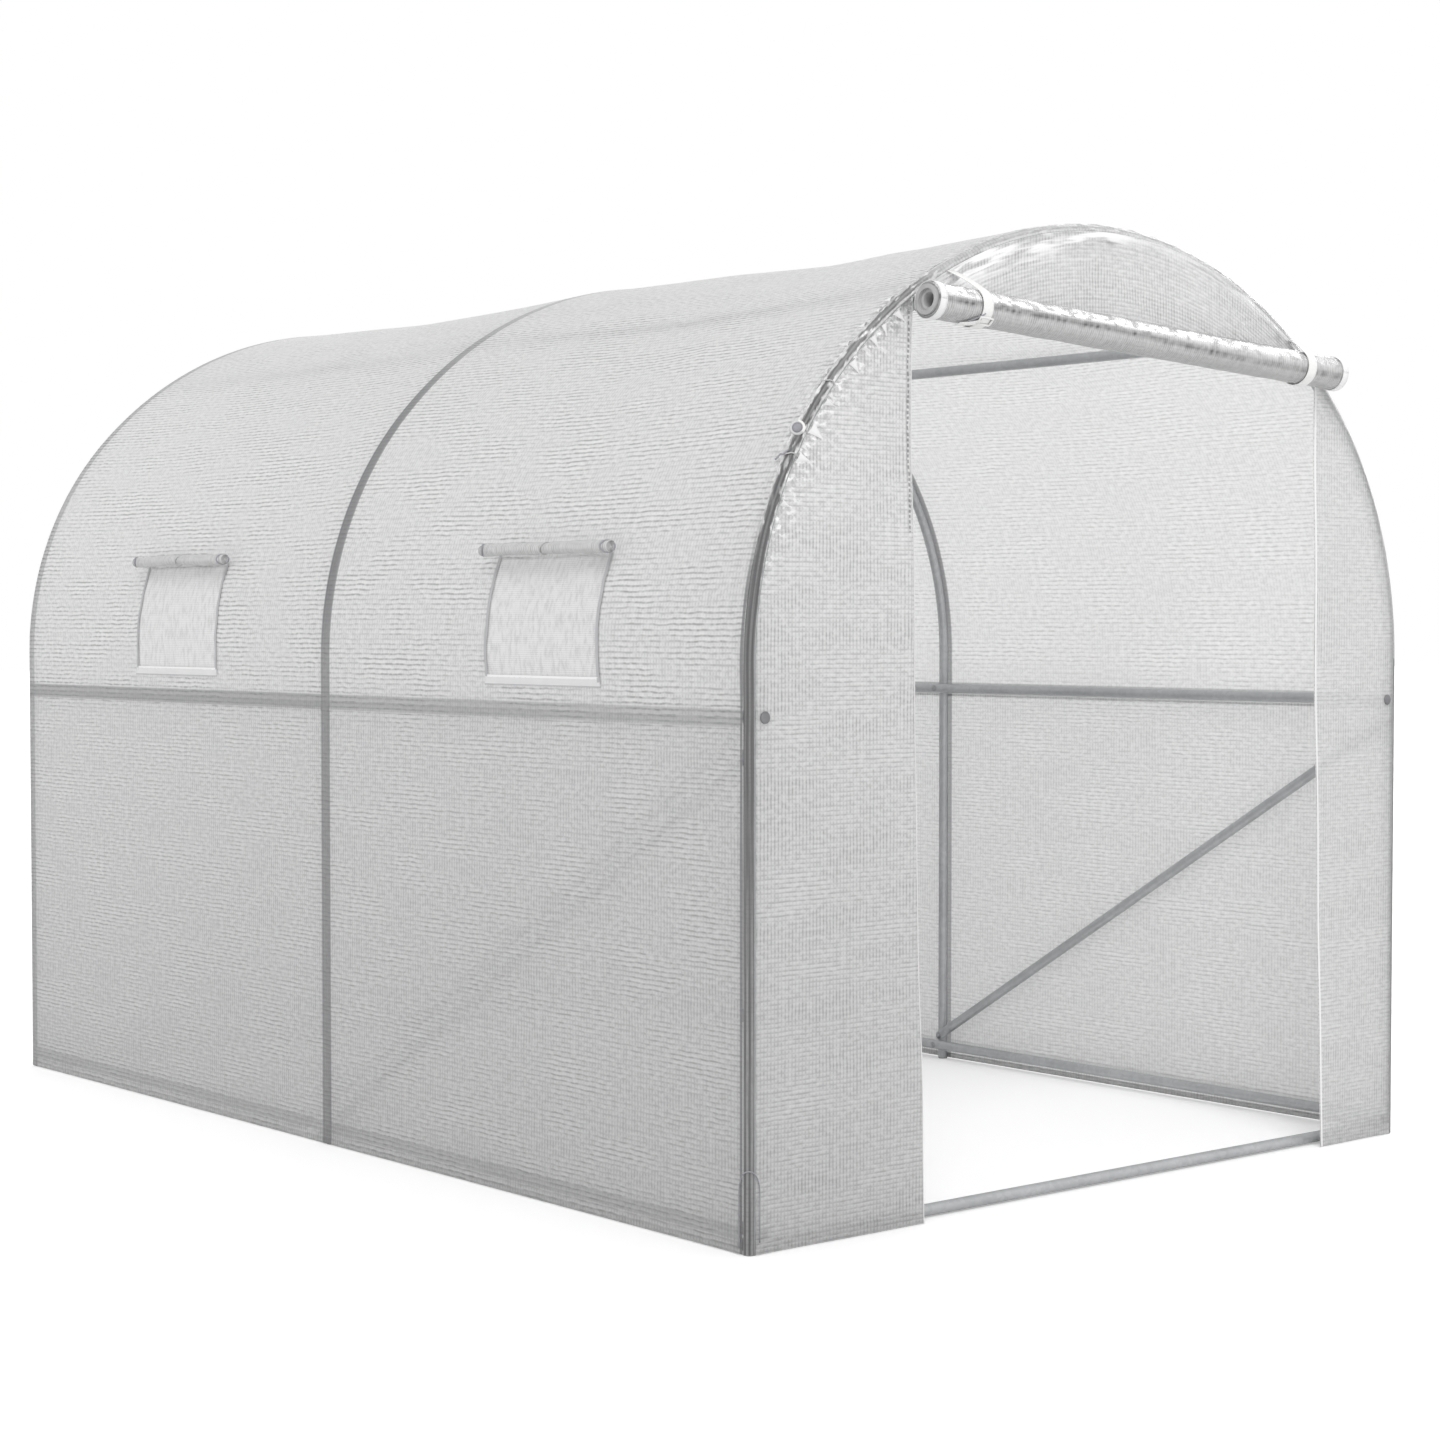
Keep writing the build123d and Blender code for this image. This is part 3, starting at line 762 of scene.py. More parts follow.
def roll_height(x):
    """Height of the rolled door's axis, which hangs lower on the right."""
    t = (x - ROLL_START.x) / (ROLL_STOP.x - ROLL_START.x)
    return ROLL_START.z + (ROLL_STOP.z - ROLL_START.z) * t


def lunette_point(x, t):
    """A point of the sheet between the roll and the arch: t is 0 at the roll and 1 at the arch."""
    low = roll_height(x) + 0.004
    high = arch_height(x, -0.002)
    z = low + (high - low) * t
    height = high - low
    crease = 0.008 * math.sin(math.pi * t) * grain(x * 7.0 + z * 9.0, z * 4.0, 4.0)
    drawn = 0.0055 * math.exp(-(1 - t) * height / 0.04) * abs(grain(x * 34.0, t * 3.0, 8.0))
    forward = 0.006 * (1 - t) ** 2
    return (x, FRONT_Y - abs(crease) - drawn - forward, z)


def lunette_crinkle_glint(x, t):
    """How crinkled the sheet is along the arch, for creases, painted glints and painted hollow shade,
    strongest on the left.
    """
    below_arch = (1 - t) * (arch_height(x, 0.0) - roll_height(x))
    strength = 0.38 + 0.62 * (1 - smooth(-0.05, 0.15, x))
    reach = 0.022 + 0.034 * (1 - smooth(-0.40, 0.10, x))
    return min(1.0, 1.4 * strength * math.exp(-(below_arch / reach) ** 2))


lunette = surface("head_sheet", stops(DOOR_LEFT - 0.012, DOOR_RIGHT - 0.004, 0.008),
                  stops(0.0, 1.0, 0.034), lunette_point, lunette_cover, marks={"drawn": lunette_crinkle_glint},
                  uv=lambda x, t: (x, (t - 1) * (arch_height(x, 0.0) - roll_height(x))))


def back_point(u, z):
    """A point of the back sheet, taut at its edge and a little loose in the middle."""
    x = (2 * u - 1) * (arch_half_width(z) + 0.010)
    loose = smooth(0.045, 0.20, inside_hoop(x, z)) * smooth(0.03, 0.15, z)
    hang = 0.006 * grain(x * 1.6, z * 1.6, 12.0) + 0.001 * grain(x * 8.0, z * 3.0, 2.0) - 0.004
    return (x, BACK_Y + min(0.0006, loose * hang), z)


FOOT_Z = 0.0155
foot_rows = [FOOT_Z + step for step in BAND_LINES[1:]]
# Painted shade of the tube that runs along the foot of the back sheet
back_sheet = surface("back_end_sheet", stops(0.0, 1.0, 0.010),
                     stops(SHEET_FOOT, arch_height(0.0, 0.010), GRID_STEP, keep=foot_rows), back_point,
                     front_cover, marks={"painted_shade": lambda u, z: tube_shadow(z - FOOT_Z, 0.45, 0.35)})
lay_flat(back_sheet)


def border_point(s, w):
    """A strip along the edge of the back sheet, where it goes over the hoop."""
    return off_line(s, BACK_Y + 0.0008 + 0.0004 * grain(s * 25.0, w * 90.0, 6.0), w)


# Painted shade of the back hoop's tube along the border
back_border = surface("back_border", stops(*LINE_ENDS, 0.02), [-0.022, *BAND_LINES],
                      border_point, front_cover, marks={"painted_shade": lambda s, w: tube_shadow(w, 0.60, 0.45)})


# The seam round the front hoop, where the front sheets and the cover are drawn together over the tube
def seam_gap(from_ground):
    """Half the angle of the dark band painted on the strip between the two sheets, as the tube in shade, in
    degrees.
    """
    return 46.0 - 10.0 * smooth(1.25, 1.55, from_ground) - 10.0 * smooth(1.60, 1.75, from_ground)


def sleeve_point(s, a):
    """A point of the seam strip, at angle a round the tube: 0 in front, 90 on the outside."""
    turn = math.radians(a)
    from_ground = to_ground(s)
    lively = smooth(1.20, 1.55, from_ground) * (1.0 - 0.85 * smooth(HALF_LINE, HALF_LINE + 0.3, s))
    r = TUBE_R + 0.0012 + (0.0005 + 0.0030 * lively) * max(0.0, grain(s * 48.0, a * 0.05, 3.0))
    return off_line(s, HOOPS[0] - r * math.cos(turn), r * math.sin(turn))


def sleeve_shaded_tube(s, a):
    """1 where the strip is painted dark, as the tube in shade between the two sheets, 0 where they cover it.
    """
    from_ground = to_ground(s)
    lively = smooth(1.15, 1.50, from_ground)
    ragged = 14.0 * lively * grain(s * 110.0, 1.0 if a > 45 else 7.0, 5.0)
    ragged += 20.0 * lively * grain(s * 38.0, 4.0 if a > 45 else 9.0, 15.0)
    half = seam_gap(from_ground) + ragged
    shaded_tube = 1.0 - smooth(half - 4.0, half + 4.0, abs(a - 44.0))
    if a > 60:
        shaded_tube = max(shaded_tube, 1.0 - smooth(1.30, 1.50, from_ground))
    fold = smooth(1.42, 1.60, from_ground) * smooth(0.24, 0.40, grain(s * 42.0, a * 0.030, 21.0))
    return shaded_tube * (1.0 - fold)


def sleeve_painted_shade(s, a):
    """Painted shade on the strip: a calm grey band on the right for the tube seen through the sheet, the tube
    in shade between two sheets on the left.
    """
    from_ground = to_ground(s)
    if s > CALM_SEAM and from_ground > SPRINGING:
        dark = smooth(1.40, 1.55, from_ground) * (1.0 - smooth(1.66, 1.78, from_ground))
        return 0.34 + 0.26 * dark + 0.10 * grain(s * 6.0, a * 0.05, 12.0)
    seam_lines = 0.5 + 0.5 * math.cos(math.radians(a * 9.0))
    low = 1.0 - smooth(0.35, 0.95, from_ground)
    fade = 1.0 - 0.70 * smooth(2.02, 2.14, from_ground)
    streak = 0.14 * grain(s * 9.0, a * 0.25, 12.0) - 0.16 * smooth(1.62, 1.85, from_ground)
    lined = low * 0.42 * (1 - seam_lines) + (1 - low) * 0.16 * seam_lines
    return sleeve_shaded_tube(s, a) * fade * (0.97 - lined + streak)


def sleeve_crinkle_glint(s, a):
    """How much the sheets on the strip are drawn together, for creases, painted glints and painted hollow
    shade.
    """
    from_ground = to_ground(s)
    calm = 1.0 - 0.7 * smooth(2.00, 2.15, from_ground) if s < CALM_SEAM else 0.12
    return 0.8 * calm * smooth(1.25, 1.55, from_ground) * (1.0 - sleeve_shaded_tube(s, a))


# The strip carries painted shade where the tube shows and painted glints where the sheets are drawn together
hoop_sleeve = surface("hoop_sleeve", stops(*LINE_ENDS, 0.006), stops(-6.0, 102.0, 6.0),
                      sleeve_point, seam_cover, uv=lambda s, a: (s, a * 0.00023),
                      marks={"painted_shade": sleeve_painted_shade, "drawn": sleeve_crinkle_glint})

# Ties and small parts on the front hoop
small_parts = []


def on_front_hoop(s, a, r):
    """A point round the front hoop's tube, r from its middle."""
    turn = math.radians(a)
    return Vector(off_line(s, HOOPS[0] - r * math.cos(turn), r * math.sin(turn)))


# Ring of a tie, grey, with a white edge on the right as a painted highlight and a dark disc in its middle as
# painted shade in the hole
RING_FACING = Vector((-0.75, -0.6, 0.2))
RING_POINTS = 28
RING_HIGHLIGHT_POINTS = 11
ring_side = RING_FACING.orthogonal().normalized()
ring_up = RING_FACING.normalized().cross(ring_side)
ring_s = line_at_height(1.587)
ring_at = on_front_hoop(ring_s, 70.0, 0.0185)
small_parts.append(tube_along("ring", circle(ring_at, ring_side, ring_up, 0.0128, RING_POINTS), 0.0028,
                              ring_plastic, sides=10, closed=True))
ring_painted_highlight = circle(ring_at, ring_side, ring_up, 0.0132, RING_POINTS)[:RING_HIGHLIGHT_POINTS]
small_parts.append(tube_along("ring_painted_highlight", ring_painted_highlight, 0.0030, white_plastic, sides=10))
small_parts.append(turned("ring_hole_shade", ((0.0115, -0.0008), (0.0115, 0.0006), (0.0030, 0.0012)), ring_at,
                          RING_FACING.normalized(), rim_plastic, sides=20))

# Ties and a knot
for tie_s, reach in ((ring_s, 150.0), (ring_s - 0.055, 130.0), (ring_s + 0.12, 120.0)):
    wrap = [on_front_hoop(tie_s + 0.004 * math.sin(k / 3.0), -20.0 + reach * k / 16,
                          0.0160 + 0.0006 * (k % 3)) for k in range(17)]
    small_parts.append(tube_along("tie", wrap, 0.0014, string_cloth, sides=8))
knot_s = ring_s - 0.050
knot = [on_front_hoop(knot_s - 0.0022 * k + 0.002 * math.sin(k * 1.3), 62.0 + 6.0 * k, 0.0170 + 0.0008 * k)
        for k in range(11)]
small_parts.append(tube_along("knot", knot, 0.0018, rim_plastic, sides=8))

# Tucks of sheet that stand out beside the seam, where the ties pull it together, in the whiter hem cloth as a
# painted highlight on the folds
FLAP_TUCKS = ((1.452, 0.030, 0.008), (1.540, 0.040, 0.013), (1.566, 0.024, 0.008), (1.600, 0.046, 0.015),
              (1.650, 0.030, 0.010), (1.668, 0.022, 0.007), (1.735, 0.034, 0.012), (1.762, 0.024, 0.007),
              (1.786, 0.032, 0.010), (1.812, 0.026, 0.008), (1.838, 0.034, 0.011))
COVER_TUCKS = ((1.622, 0.012, 0.006), (1.700, 0.014, 0.006), (1.758, 0.020, 0.008), (1.797, 0.026, 0.009),
               (1.829, 0.020, 0.008), (1.852, 0.026, 0.009))


def flap_tuck(middle_s, long, half_width, lean):
    """A tuck that tapers inwards on a front sheet: u runs along it and v across."""
    def point(u, v):
        s = middle_s + v * half_width * (1 - u) ** 1.3 + lean * u
        return off_line(s, FRONT_Y - 0.0042 - 0.0060 * (1 - u) * (1 - v * v), -0.001 - long * u)
    return point


def cover_tuck(middle_s, long, half_width, lean):
    """A tuck that tapers backwards on the cover: u runs along it and v across."""
    def point(u, v):
        s = middle_s + v * half_width * (1 - u) ** 1.3 + lean * u
        y = COVER_FRONT - 0.004 + long * u
        return off_line(s, y, cover_lift(s, max(y, COVER_FRONT)) + 0.0008 + 0.0050 * (1 - u) * (1 - v * v))
    return point


tuck_points = [flap_tuck(line_at_height(height), long, half_width, 0.012 * math.sin(number * 2.0))
               for number, (height, long, half_width) in enumerate(FLAP_TUCKS)]
tuck_points += [cover_tuck(line_at_height(height), long, half_width, -0.006)
                for height, long, half_width in COVER_TUCKS]
tucks = [surface("tuck", stops(0.0, 1.0, 0.2), stops(-1.0, 1.0, 0.25), point, white_hem,
                 uv=lambda u, v: (u * 0.03, v * 0.01)) for point in tuck_points]
tuck_set = joined("seam_tucks", tucks)

# Cap over the end of the left mid rail, and its fellow on the right
CAP = ((0.0118, -0.002), (0.0118, 0.0012), (0.0100, 0.0030), (0.0060, 0.0042), (0.0020, 0.0046))
for side in (-1, 1):
    cap_at = Vector((side * RAIL_X, FRONT_Y - 0.0018, RAIL_Z))
    small_parts.append(turned("rail_cap", CAP, cap_at, Vector((0, -1, 0)), dark_plastic, sides=24))


# Cord sewn in an arch round the foot of the front left post
def round_foot(w, z):
    """A point on the sheets, a width w round the corner from the middle of the front left post."""
    r = 0.0168
    quarter = r * math.pi / 4
    spot = on_front_hoop(z, 45.0 - math.degrees(max(-quarter, min(quarter, w)) / r), r)
    return spot + Vector((max(0.0, w - quarter), max(0.0, -w - quarter), 0.0))


cord_path = [round_foot(-0.025, 0.015 + 0.105 * k / 8) for k in range(8)]
cord_path += [round_foot(-0.025 * math.cos(math.pi * k / 14), 0.120 + 0.045 * math.sin(math.pi * k / 14))
              for k in range(15)]
cord_path += [round_foot(0.025, 0.120 - 0.095 * k / 8) for k in range(1, 9)]
small_parts.append(tube_along("foot_cord", cord_path, 0.0013, rim_plastic, sides=6))

# Bolts where rails cross the hoops
WASHER = ((0.0085, 0.0), (0.0085, 0.0012))
NUT = ((0.0058, 0.0010), (0.0062, 0.0018), (0.0062, 0.0048), (0.0050, 0.0056))


def bolt(at, direction):
    """A hexagon nut on a washer."""
    return [turned("washer", WASHER, at, direction, bolt_metal, sides=20),
            turned("nut", NUT, at, direction, bolt_metal, sides=6)]


PURLIN_ANGLE = math.radians(57.0)
BRACE_X = 0.9846
CLAMP_GAP = 0.015
CLAMP_R = 0.0134
rail_radius = CROWN_R - 0.0253
purlin_x = rail_radius * math.cos(PURLIN_ANGLE)
purlin_z = CROWN_Z + rail_radius * math.sin(PURLIN_ANGLE)
rail_spots = [(side * RAIL_X, RAIL_Z, Vector((-side, 0, 0))) for side in (-1, 1)]
rail_spots += [(side * RAIL_X, BASE_Z, Vector((-side, 0, 0))) for side in (-1, 1)]
rail_spots += [(side * purlin_x, purlin_z,
                Vector((-side * math.cos(PURLIN_ANGLE), 0, -math.sin(PURLIN_ANGLE)))) for side in (-1, 1)]
rail_spots.append((0.0, CROWN_Z + rail_radius, Vector((0, 0, -1))))
bolts = []
for y in HOOPS:
    for x, z, inward in rail_spots:
        bolts += bolt(Vector((x, y, z)) + inward * (TUBE_R - 0.0006), inward)
for side in (-1, 1):
    for y, z in ((HOOPS[0], BRACE_TOP), (HOOPS[1], BRACE_FOOT)):
        bolts += bolt(Vector((side * BRACE_X, y, z)), Vector((-side, 0, 0)))

# Clamps round the purlins, behind the front hoop and on both sides of the middle one
for ys in ((HOOPS[0] + CLAMP_GAP,), (HOOPS[1] - CLAMP_GAP, HOOPS[1] + CLAMP_GAP)):
    for side in (-1, 1):
        for y in ys:
            centre = Vector((side * purlin_x, y, purlin_z))
            loop = circle(centre, Vector((1, 0, 0)), Vector((0, 0, 1)), CLAMP_R, 24)
            bolts.append(tube_along("clamp", loop, 0.0018, bolt_metal, sides=6, closed=True))

# Rolled door
roll_along = (ROLL_STOP - ROLL_START).normalized()
roll_length = (ROLL_STOP - ROLL_START).length
roll_up = Vector((0, -1, 0)).cross(roll_along).normalized()
if roll_up.z < 0:
    roll_up = -roll_up
roll_out = Vector((0, -1, 0))
TURNS = 7.5
ROLL_SHEET = 0.0006
LAST_ANGLE = math.radians(70)
FIRST_TURN_R = ROLL_CORE_R + 0.0005
LAST_TURN_R = ROLL_R - 0.0025


def round_roll(a):
    """The direction away from the roll's axis at an angle: 0 forwards, a quarter turn up."""
    return roll_out * math.cos(a) + roll_up * math.sin(a)


def wound_radius(t):
    """Radius of the wound sheet, t turns out from the tube."""
    return FIRST_TURN_R + (LAST_TURN_R - FIRST_TURN_R) * t / TURNS


def roll_angle(t):
    """Angle of the wound sheet round the axis, t turns out from the tube."""
    return 2 * math.pi * (t - TURNS) + LAST_ANGLE


def roll_point(t, w):
    """A point of the wound door sheet, t turns out from the tube and w along it."""
    r = wound_radius(t)
    a = roll_angle(t)
    outer = smooth(TURNS - 1.3, TURNS - 0.6, t)
    top = max(0.0, math.sin(a)) ** 2
    r += outer * 0.0014 * grain(w * 16.0, math.cos(a) * 2.0, math.sin(a) * 2.0)
    r += outer * top * 0.0014 * grain(w * 60.0, a * 2.0, 31.0)
    left_end = w < roll_length / 2
    shift = 0.0022 * grain(t * 1.7, 0.0 if left_end else 9.0, 6.0) * (1 if left_end else -1)
    end = 1.0 - smooth(0.0, 0.03, min(w, roll_length - w))
    return ROLL_START + roll_along * (w + shift * end) + round_roll(a) * r


def outer_place(t):
    """Where a turn of the roll is at t, in degrees: 0 in front, 90 on top."""
    return math.degrees(math.atan2(math.sin(roll_angle(t)), math.cos(roll_angle(t))))


def rightwards(w):
    """How far a place is towards the roll's right half, and towards its right end past the strap."""
    return smooth(0.45, 1.05, w), smooth(roll_length - 0.17, roll_length - 0.11, w)


def roll_crinkle_glint(t, w):
    """Painted glints and painted hollow shade of the crinkled film along the top of the roll."""
    place = outer_place(t)
    right, right_end = rightwards(w)
    low = smooth(9.0 - 16.0 * right, 22.0 - 4.0 * right, place)
    high = 1.0 - (0.45 + 0.55 * right) * smooth(56.0 - 16.0 * right, 76.0 - 18.0 * right, place)
    return low * high * (1.0 - 0.42 * right) * (1.0 - 0.60 * right_end)


def roll_painted_shade(t, w):
    """Painted shade: a dark crease just under the crinkled top, the shaded underside and a darker top towards
    the right, painted over the light that falls there.
    """
    place = outer_place(t)
    right, right_end = rightwards(w)
    wander = 5.0 * grain(w * 30.0, 1.0, 2.0)
    depth = (0.45 + 1.3 * abs(grain(w * 60.0, place * 0.02, 3.0))) * (1 - 0.4 * right)
    crease_line = math.exp(-((place - 3.0 + 20.0 * right + wander) / (9.0 + 4.0 * right)) ** 2) * depth
    under = 0.16 * (1 - smooth(-50.0, -5.0, place))
    lower = 14.0 * right_end
    over = (0.12 + 0.37 * right + 0.07 * right_end) * smooth(34.0 - lower, 54.0 - lower, place)
    return min(1.0, max(crease_line, under, over))


door_roll = surface("rolled_door", stops(0.0, TURNS, 1 / 36), stops(0.002, roll_length - 0.002, 0.009),
                    roll_point, roll_cover, uv=lambda t, w: (t * 0.23, w),
                    marks={"drawn": roll_crinkle_glint, "painted_shade": roll_painted_shade})
thicken(door_roll, ROLL_SHEET)
WINDINGS = 90
door_length = sum(2 * math.pi * wound_radius(TURNS * (n + 0.5) / WINDINGS) for n in range(WINDINGS))
door_length *= TURNS / WINDINGS

# White hems round both ends of the outer turn
RIM_R = 0.0381
RIM_WIDTH = 0.019
RIM_INSET = 0.0012
roll_rims = []
for at in (RIM_INSET, roll_length - RIM_INSET - RIM_WIDTH):
    roll_rims.append(surface("rim", stops(0.0, 360.0, 9.0), stops(at, at + RIM_WIDTH, 0.0065),
                             lambda a, w: ROLL_START + roll_along * w + round_roll(math.radians(a)) * RIM_R,
                             white_hem, uv=lambda a, w: (a * 0.0007, w)))
roll_rim = joined("roll_end_hems", roll_rims)
thicken(roll_rim, 0.0009)

# Bushes in both ends of the tube
BUSH = ((0.0245, 0.0), (0.0238, -0.0012), (0.0160, -0.0012), (0.0148, 0.0004), (0.0144, 0.0250))
BUSH_INSET = 0.004


def bush_point(a, k, end, inward):
    """A point of a bush at angle a, on line k of its profile."""
    r, deep = BUSH[round(k)]
    return end + inward * (deep + BUSH_INSET) + round_roll(math.radians(a)) * r


bushes = []
for end, inward in ((ROLL_START, roll_along), (ROLL_STOP, -roll_along)):
    bushes.append(surface("bush", stops(0.0, 360.0, 10.0), stops(0.0, len(BUSH) - 1.0, 1.0),
                          lambda a, k: bush_point(a, k, end, inward), grey_plastic))
bush_set = joined("roll_tube_bushes", bushes)

# Straps that hold the roll: from the hoop over the front of the roll, under it and back up behind
STRAP_Y = FRONT_Y - 0.0030
STRAP_R = ROLL_R + 0.0012
straps = []
for index, x in enumerate(STRAP_XS):
    centre = Vector((x, ROLL_Y, roll_height(x)))
    hung_x = x + STRAP_LEANS[index]
    hung = Vector((hung_x, STRAP_Y, arch_height(hung_x, 0.0) - 0.004))
    offset = hung - centre
    reach = offset.length
    lean = math.atan2(offset.dot(roll_up), offset.dot(roll_out))
    touch = lean - math.acos(min(1.0, STRAP_R / reach))
    landing = centre + round_roll(touch) * STRAP_R
    path = [hung + (landing - hung) * (k / 8) + roll_along * (0.009 * math.sin(math.pi * k / 8))
            for k in range(8)]
    turn = touch
    while turn > math.radians(-190):
        path.append(centre + round_roll(turn) * STRAP_R)
        turn -= math.radians(9)
    path.append(Vector((x, STRAP_Y, centre.z + 0.030)))
    lengths = [0.0]
    for a, b in zip(path, path[1:]):
        lengths.append(lengths[-1] + (b - a).length)

    def strap_point(u, v):
        n = min(range(len(lengths)), key=lambda k: abs(lengths[k] - v))
        hoop_end = 1 - smooth(0.0, 0.07, v)
        drop = (-0.175 if index else 0.11) * u * hoop_end
        return path[n] + roll_along * (u * (1.0 - 0.35 * hoop_end)) + Vector((0, 0, drop))

    strap = surface(f"strap_{index}", stops(-0.014, 0.014, 0.004), lengths, strap_point, webbing)
    thicken(strap, 0.0016)
    straps.append(strap)


# Slider and loose tail of the left strap, on the lower front of the roll, and a thin dark tube as a painted
# shadow along the strap's edge
def by_left_strap(along, angle, out):
    """A point round the rolled door, a length along it from the left strap."""
    spot = Vector((STRAP_XS[0], ROLL_Y, roll_height(STRAP_XS[0])))
    return spot + roll_along * along + round_roll(math.radians(angle)) * (ROLL_R + out)


BUCKLE_OUTLINE = ((-1, -1), (-1, 0), (-1, 1), (0, 1.1), (1, 1), (1, 0), (1, -1), (0, -1.1))
buckle_path = [by_left_strap(0.017 * dx, -44.0 + 11.0 * dy, 0.0045) for dx, dy in BUCKLE_OUTLINE]
buckle = tube_along("buckle", buckle_path, 0.0024, white_plastic, sides=8, closed=True)
tail = surface("tail", stops(0.0, 0.048, 0.004), stops(-10.0, 10.0, 4.0),
               lambda u, v: by_left_strap(-0.010 - u, -50.0 + v - 520.0 * u, 0.0034), webbing,
               uv=lambda u, v: (u, v * 0.0007))
thicken(tail, 0.0014)
tail_path = [by_left_strap(-0.006 - 0.0044 * k, -22.0 - 4.2 * k, 0.0022) for k in range(9)]
tail_shade_line = tube_along("tail_shade_line", tail_path, 0.0016, rim_plastic, sides=6)
strap_fittings = joined("strap_fittings", [buckle, tail, tail_shade_line])

# Windows
FLAP_TURNS = 5.0
screens, window_frames, window_rolls, window_ties = [], [], [], []
for number, middle in enumerate(WINDOW_YS):
    bay = ("front", "back")[number]
    low_s, high_s = window_lines
    front_edge = middle - WINDOW_WIDTH / 2
    back_edge = middle + WINDOW_WIDTH / 2
    screens.append(surface(f"{bay}_window_net", stops(front_edge - NET_MARGIN, back_edge + NET_MARGIN, 0.015),
                           stops(low_s - NET_MARGIN, high_s + 0.012, 0.015),
                           lambda y, s: cover_point(s, y, -0.0014), window_net))

    def bow(s):
        return 0.0025 * grain(s * 24.0, number * 3.0, 4.0)

    side_range = (low_s - 0.006, high_s + 0.010)
    for part, start, stop, (low, high), inward, material in (
            ("front_hem", front_edge - 0.005, front_edge + 0.005, side_range, 1, window_hem),
            ("back_hem", back_edge - 0.004, back_edge + 0.004, side_range, -1, window_hem),
            ("low_edge", front_edge + 0.002, back_edge - 0.002, (low_s, low_s + 0.005), 0, white_hem),
            ("low_hem", front_edge - 0.006, back_edge + 0.006, (low_s - 0.014, low_s + 0.001), 0, hem_cloth),
            ("low_seam", front_edge - 0.008, back_edge + 0.008, (low_s - 0.0165, low_s - 0.014), 0,
             window_hem)):
        window_frames.append(surface(
            f"{bay}_window_{part}", stops(start, stop, 0.02), stops(low, high, 0.008),
            lambda y, s: cover_point(s, y + inward * bow(s), 0.0012), material))
    turn = math.asin((WINDOW_ROLL_Z - SPRINGING) / SHOULDER_R)
    reach = SHOULDER_R + 0.0158 + 0.0003 + WINDOW_ROLL_R
    axis = Vector((-SHOULDER_X - reach * math.cos(turn), 0, SPRINGING + reach * math.sin(turn)))
    start_y = middle - WINDOW_ROLL_LENGTH / 2

    def flap_roll(t, w):
        r = 0.0035 + 0.0100 * t / FLAP_TURNS
        a = 2 * math.pi * (t - FLAP_TURNS) + 2.2
        outer = smooth(FLAP_TURNS - 1.3, FLAP_TURNS - 0.5, t)
        r += outer * 0.0009 * grain(w * 30.0, math.cos(a) * 1.5 + number * 7, math.sin(a) * 1.5)
        pinch = 1 - 0.22 * math.exp(-((w - WINDOW_ROLL_LENGTH / 2) / 0.02) ** 2)
        end = min(w, WINDOW_ROLL_LENGTH - w)
        pinch *= 0.84 + 0.16 * smooth(0.0, 0.012, end)
        droop = 0.004 * grain(w * 6.0, number * 5.0, 1.0)
        return axis + Vector((-math.cos(a) * r * pinch, start_y + w, math.sin(a) * r * pinch + droop))

    flap = surface(f"{bay}_rolled_flap", stops(0.0, FLAP_TURNS, 1 / 24),
                   stops(0.003, WINDOW_ROLL_LENGTH - 0.003, 0.012), flap_roll, roll_cover,
                   uv=lambda t, w: (t * 0.06, w))
    thicken(flap, 0.0007)
    window_rolls.append(flap)
    for sign in (-1, 1):
        place = Vector((axis.x - 0.003, middle + sign * (WINDOW_ROLL_LENGTH / 2 - 0.012), axis.z))
        sideways = Vector((0.8, 0.6 * sign, 0.0))
        facing = Vector((-0.6, 0.8 * sign, 0.0))

        def pad_point(u, a):
            return (place + sideways * (0.0150 * u * math.cos(a)) + Vector((0, 0, 0.0118 * u * math.sin(a)))
                    + facing * (0.003 * (1 - u * u)))

        oval = [pad_point(1.0, math.pi * k / 12) for k in range(24)]
        window_ties.append(surface("end_pad", stops(0.1, 1.0, 0.3), stops(0.0, 2 * math.pi, 0.3), pad_point,
                                   hem_cloth, uv=lambda u, a: (0.02 * u, 0.02 * a)))
        window_ties.append(tube_along("end_rim", oval, 0.0022, rim_plastic, sides=8, closed=True))
    hook = []
    for k in range(30):
        a = math.radians(-150 + k * 12)
        hook.append(Vector((axis.x - 0.0130 * math.cos(a), middle + 0.006 * math.sin(k / 4.5),
                            axis.z + 0.0130 * math.sin(a))))
    window_ties.append(tube_along("tie", hook, 0.0016, string_cloth, sides=8))
window_tie = joined("window_roll_ends", window_ties)
hoop_fittings = joined("hoop_fittings", small_parts)
bolt_set = joined("bolts", bolts)

# Everything rides on the one body
bays = ("front", "back")
cover_nodes = [f"{bay}_bay_{side}_{level}_sheet" for bay in bays for side in ("left", "right")
               for level in ("lower", "upper")] + [f"{bay}_bay_roof_sheet" for bay in bays]
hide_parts(*cover_nodes)
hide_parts("front_left_flap")
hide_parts("front_right_flap")
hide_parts("front_top_sheet")
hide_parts("back_sheet")
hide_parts("door_roll")
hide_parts("door_straps")
for bay, flap in zip(bays, window_rolls):
    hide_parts(f"{bay}_window_roll")

sheets = (main_cover, front_left_flap, front_right_flap, lunette, back_sheet, door_roll, hoop_sleeve,
          roll_rim, tuck_set, back_border, *screens, *window_rolls, *cover_hems, *flap_hems, *window_frames)
for slot, pieces in (("cover_sheet", sheets), ("strap_webbing", (*straps, strap_fittings)),
                     ("grey_plastic", (hoop_fittings, window_tie, bush_set)),
                     ("galvanised_tube", (bolt_set,))):
    for piece in pieces:
        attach(piece, "root")

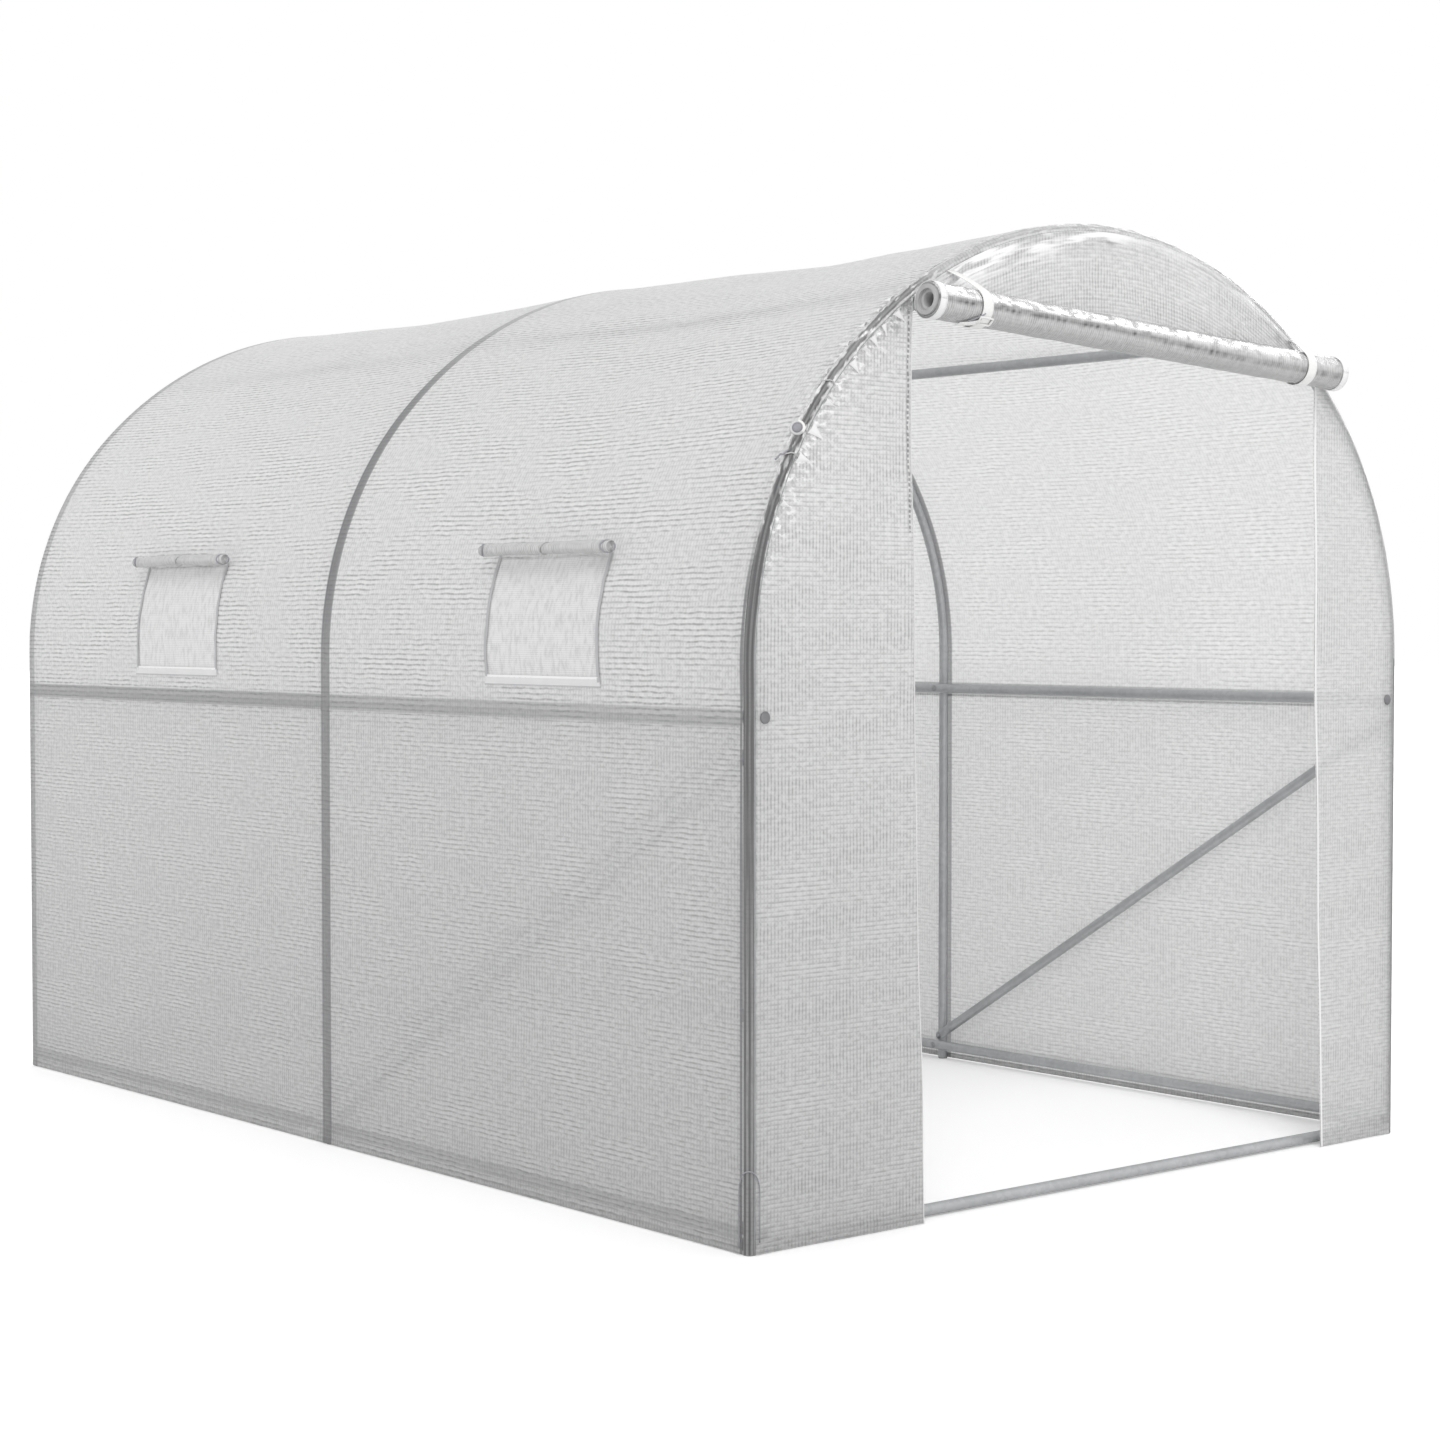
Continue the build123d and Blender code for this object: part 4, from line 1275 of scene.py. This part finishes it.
# Stage: pale floor that keeps the shadow, with a little glow for the camera only
FLOOR_REACH = 60.0
paper = Shader("floor_paper")
base = paper.add("ShaderNodeBsdfDiffuse", {"Color": grey(0.86)}).outputs[0]
glow = paper.add("ShaderNodeEmission", {"Color": grey(1.0), "Strength": 0.22}).outputs[0]
both = paper.add("ShaderNodeAddShader", {0: base, 1: glow}).outputs[0]
paper.show(paper.mixed(paper.add("ShaderNodeLightPath").outputs["Is Camera Ray"], base, both))
corners = [(x * FLOOR_REACH, y * FLOOR_REACH, 0) for x, y in ((-1, -1), (1, -1), (1, 1), (-1, 1))]
made("floor", corners, [(0, 1, 2, 3)], paper.material)

# Sky: white where it is seen, a little darker as a light
world = bpy.data.worlds.new("studio")
bpy.context.scene.world = world
world.use_nodes = True
sky = Nodes(world.node_tree, "ShaderNodeOutputWorld")
lighting = sky.add("ShaderNodeBackground", {"Color": grey(1.0), "Strength": 0.80}).outputs[0]
white = sky.add("ShaderNodeBackground", {"Color": grey(1.0)}).outputs[0]
path = sky.add("ShaderNodeLightPath").outputs
seen = sky.math("MAXIMUM", path["Is Camera Ray"], path["Is Glossy Ray"])
seen = sky.math("MAXIMUM", seen, path["Is Transmission Ray"])
sky.show(sky.mixed(seen, lighting, white))


def soft_sun(name, towards, strength, angle):
    """An even, soft light that comes from one side of the sky."""
    lamp = bpy.data.lights.new(name, "SUN")
    lamp.energy = strength
    lamp.angle = math.radians(angle)
    holder = bpy.data.objects.new(name, lamp)
    holder.rotation_euler = (-Vector(towards)).to_track_quat("-Z", "Y").to_euler()
    bpy.context.collection.objects.link(holder)


soft_sun("key", (-0.42, -0.60, 0.68), 1.15, 30.0)
soft_sun("back", (0.85, 0.30, 0.38), 1.35, 40.0)

# Camera of the photo: its focal length and its frame's side, both in the photo's pixels
FOCAL_PIXELS = 2784.9
PHOTO_SIDE = 1440
SENSOR = 36.0
camera_data = bpy.data.cameras.new("camera")
camera_data.sensor_width = SENSOR
camera_data.lens = FOCAL_PIXELS / PHOTO_SIDE * SENSOR
camera = bpy.data.objects.new("camera", camera_data)
camera.location = (-4.4730, -5.5066, 1.2194)
camera.rotation_euler = Vector((0.64261, 0.76541, -0.03497)).to_track_quat("-Z", "Y").to_euler()
bpy.context.collection.objects.link(camera)
bpy.context.scene.camera = camera
bpy.context.scene.view_settings.view_transform = "Standard"
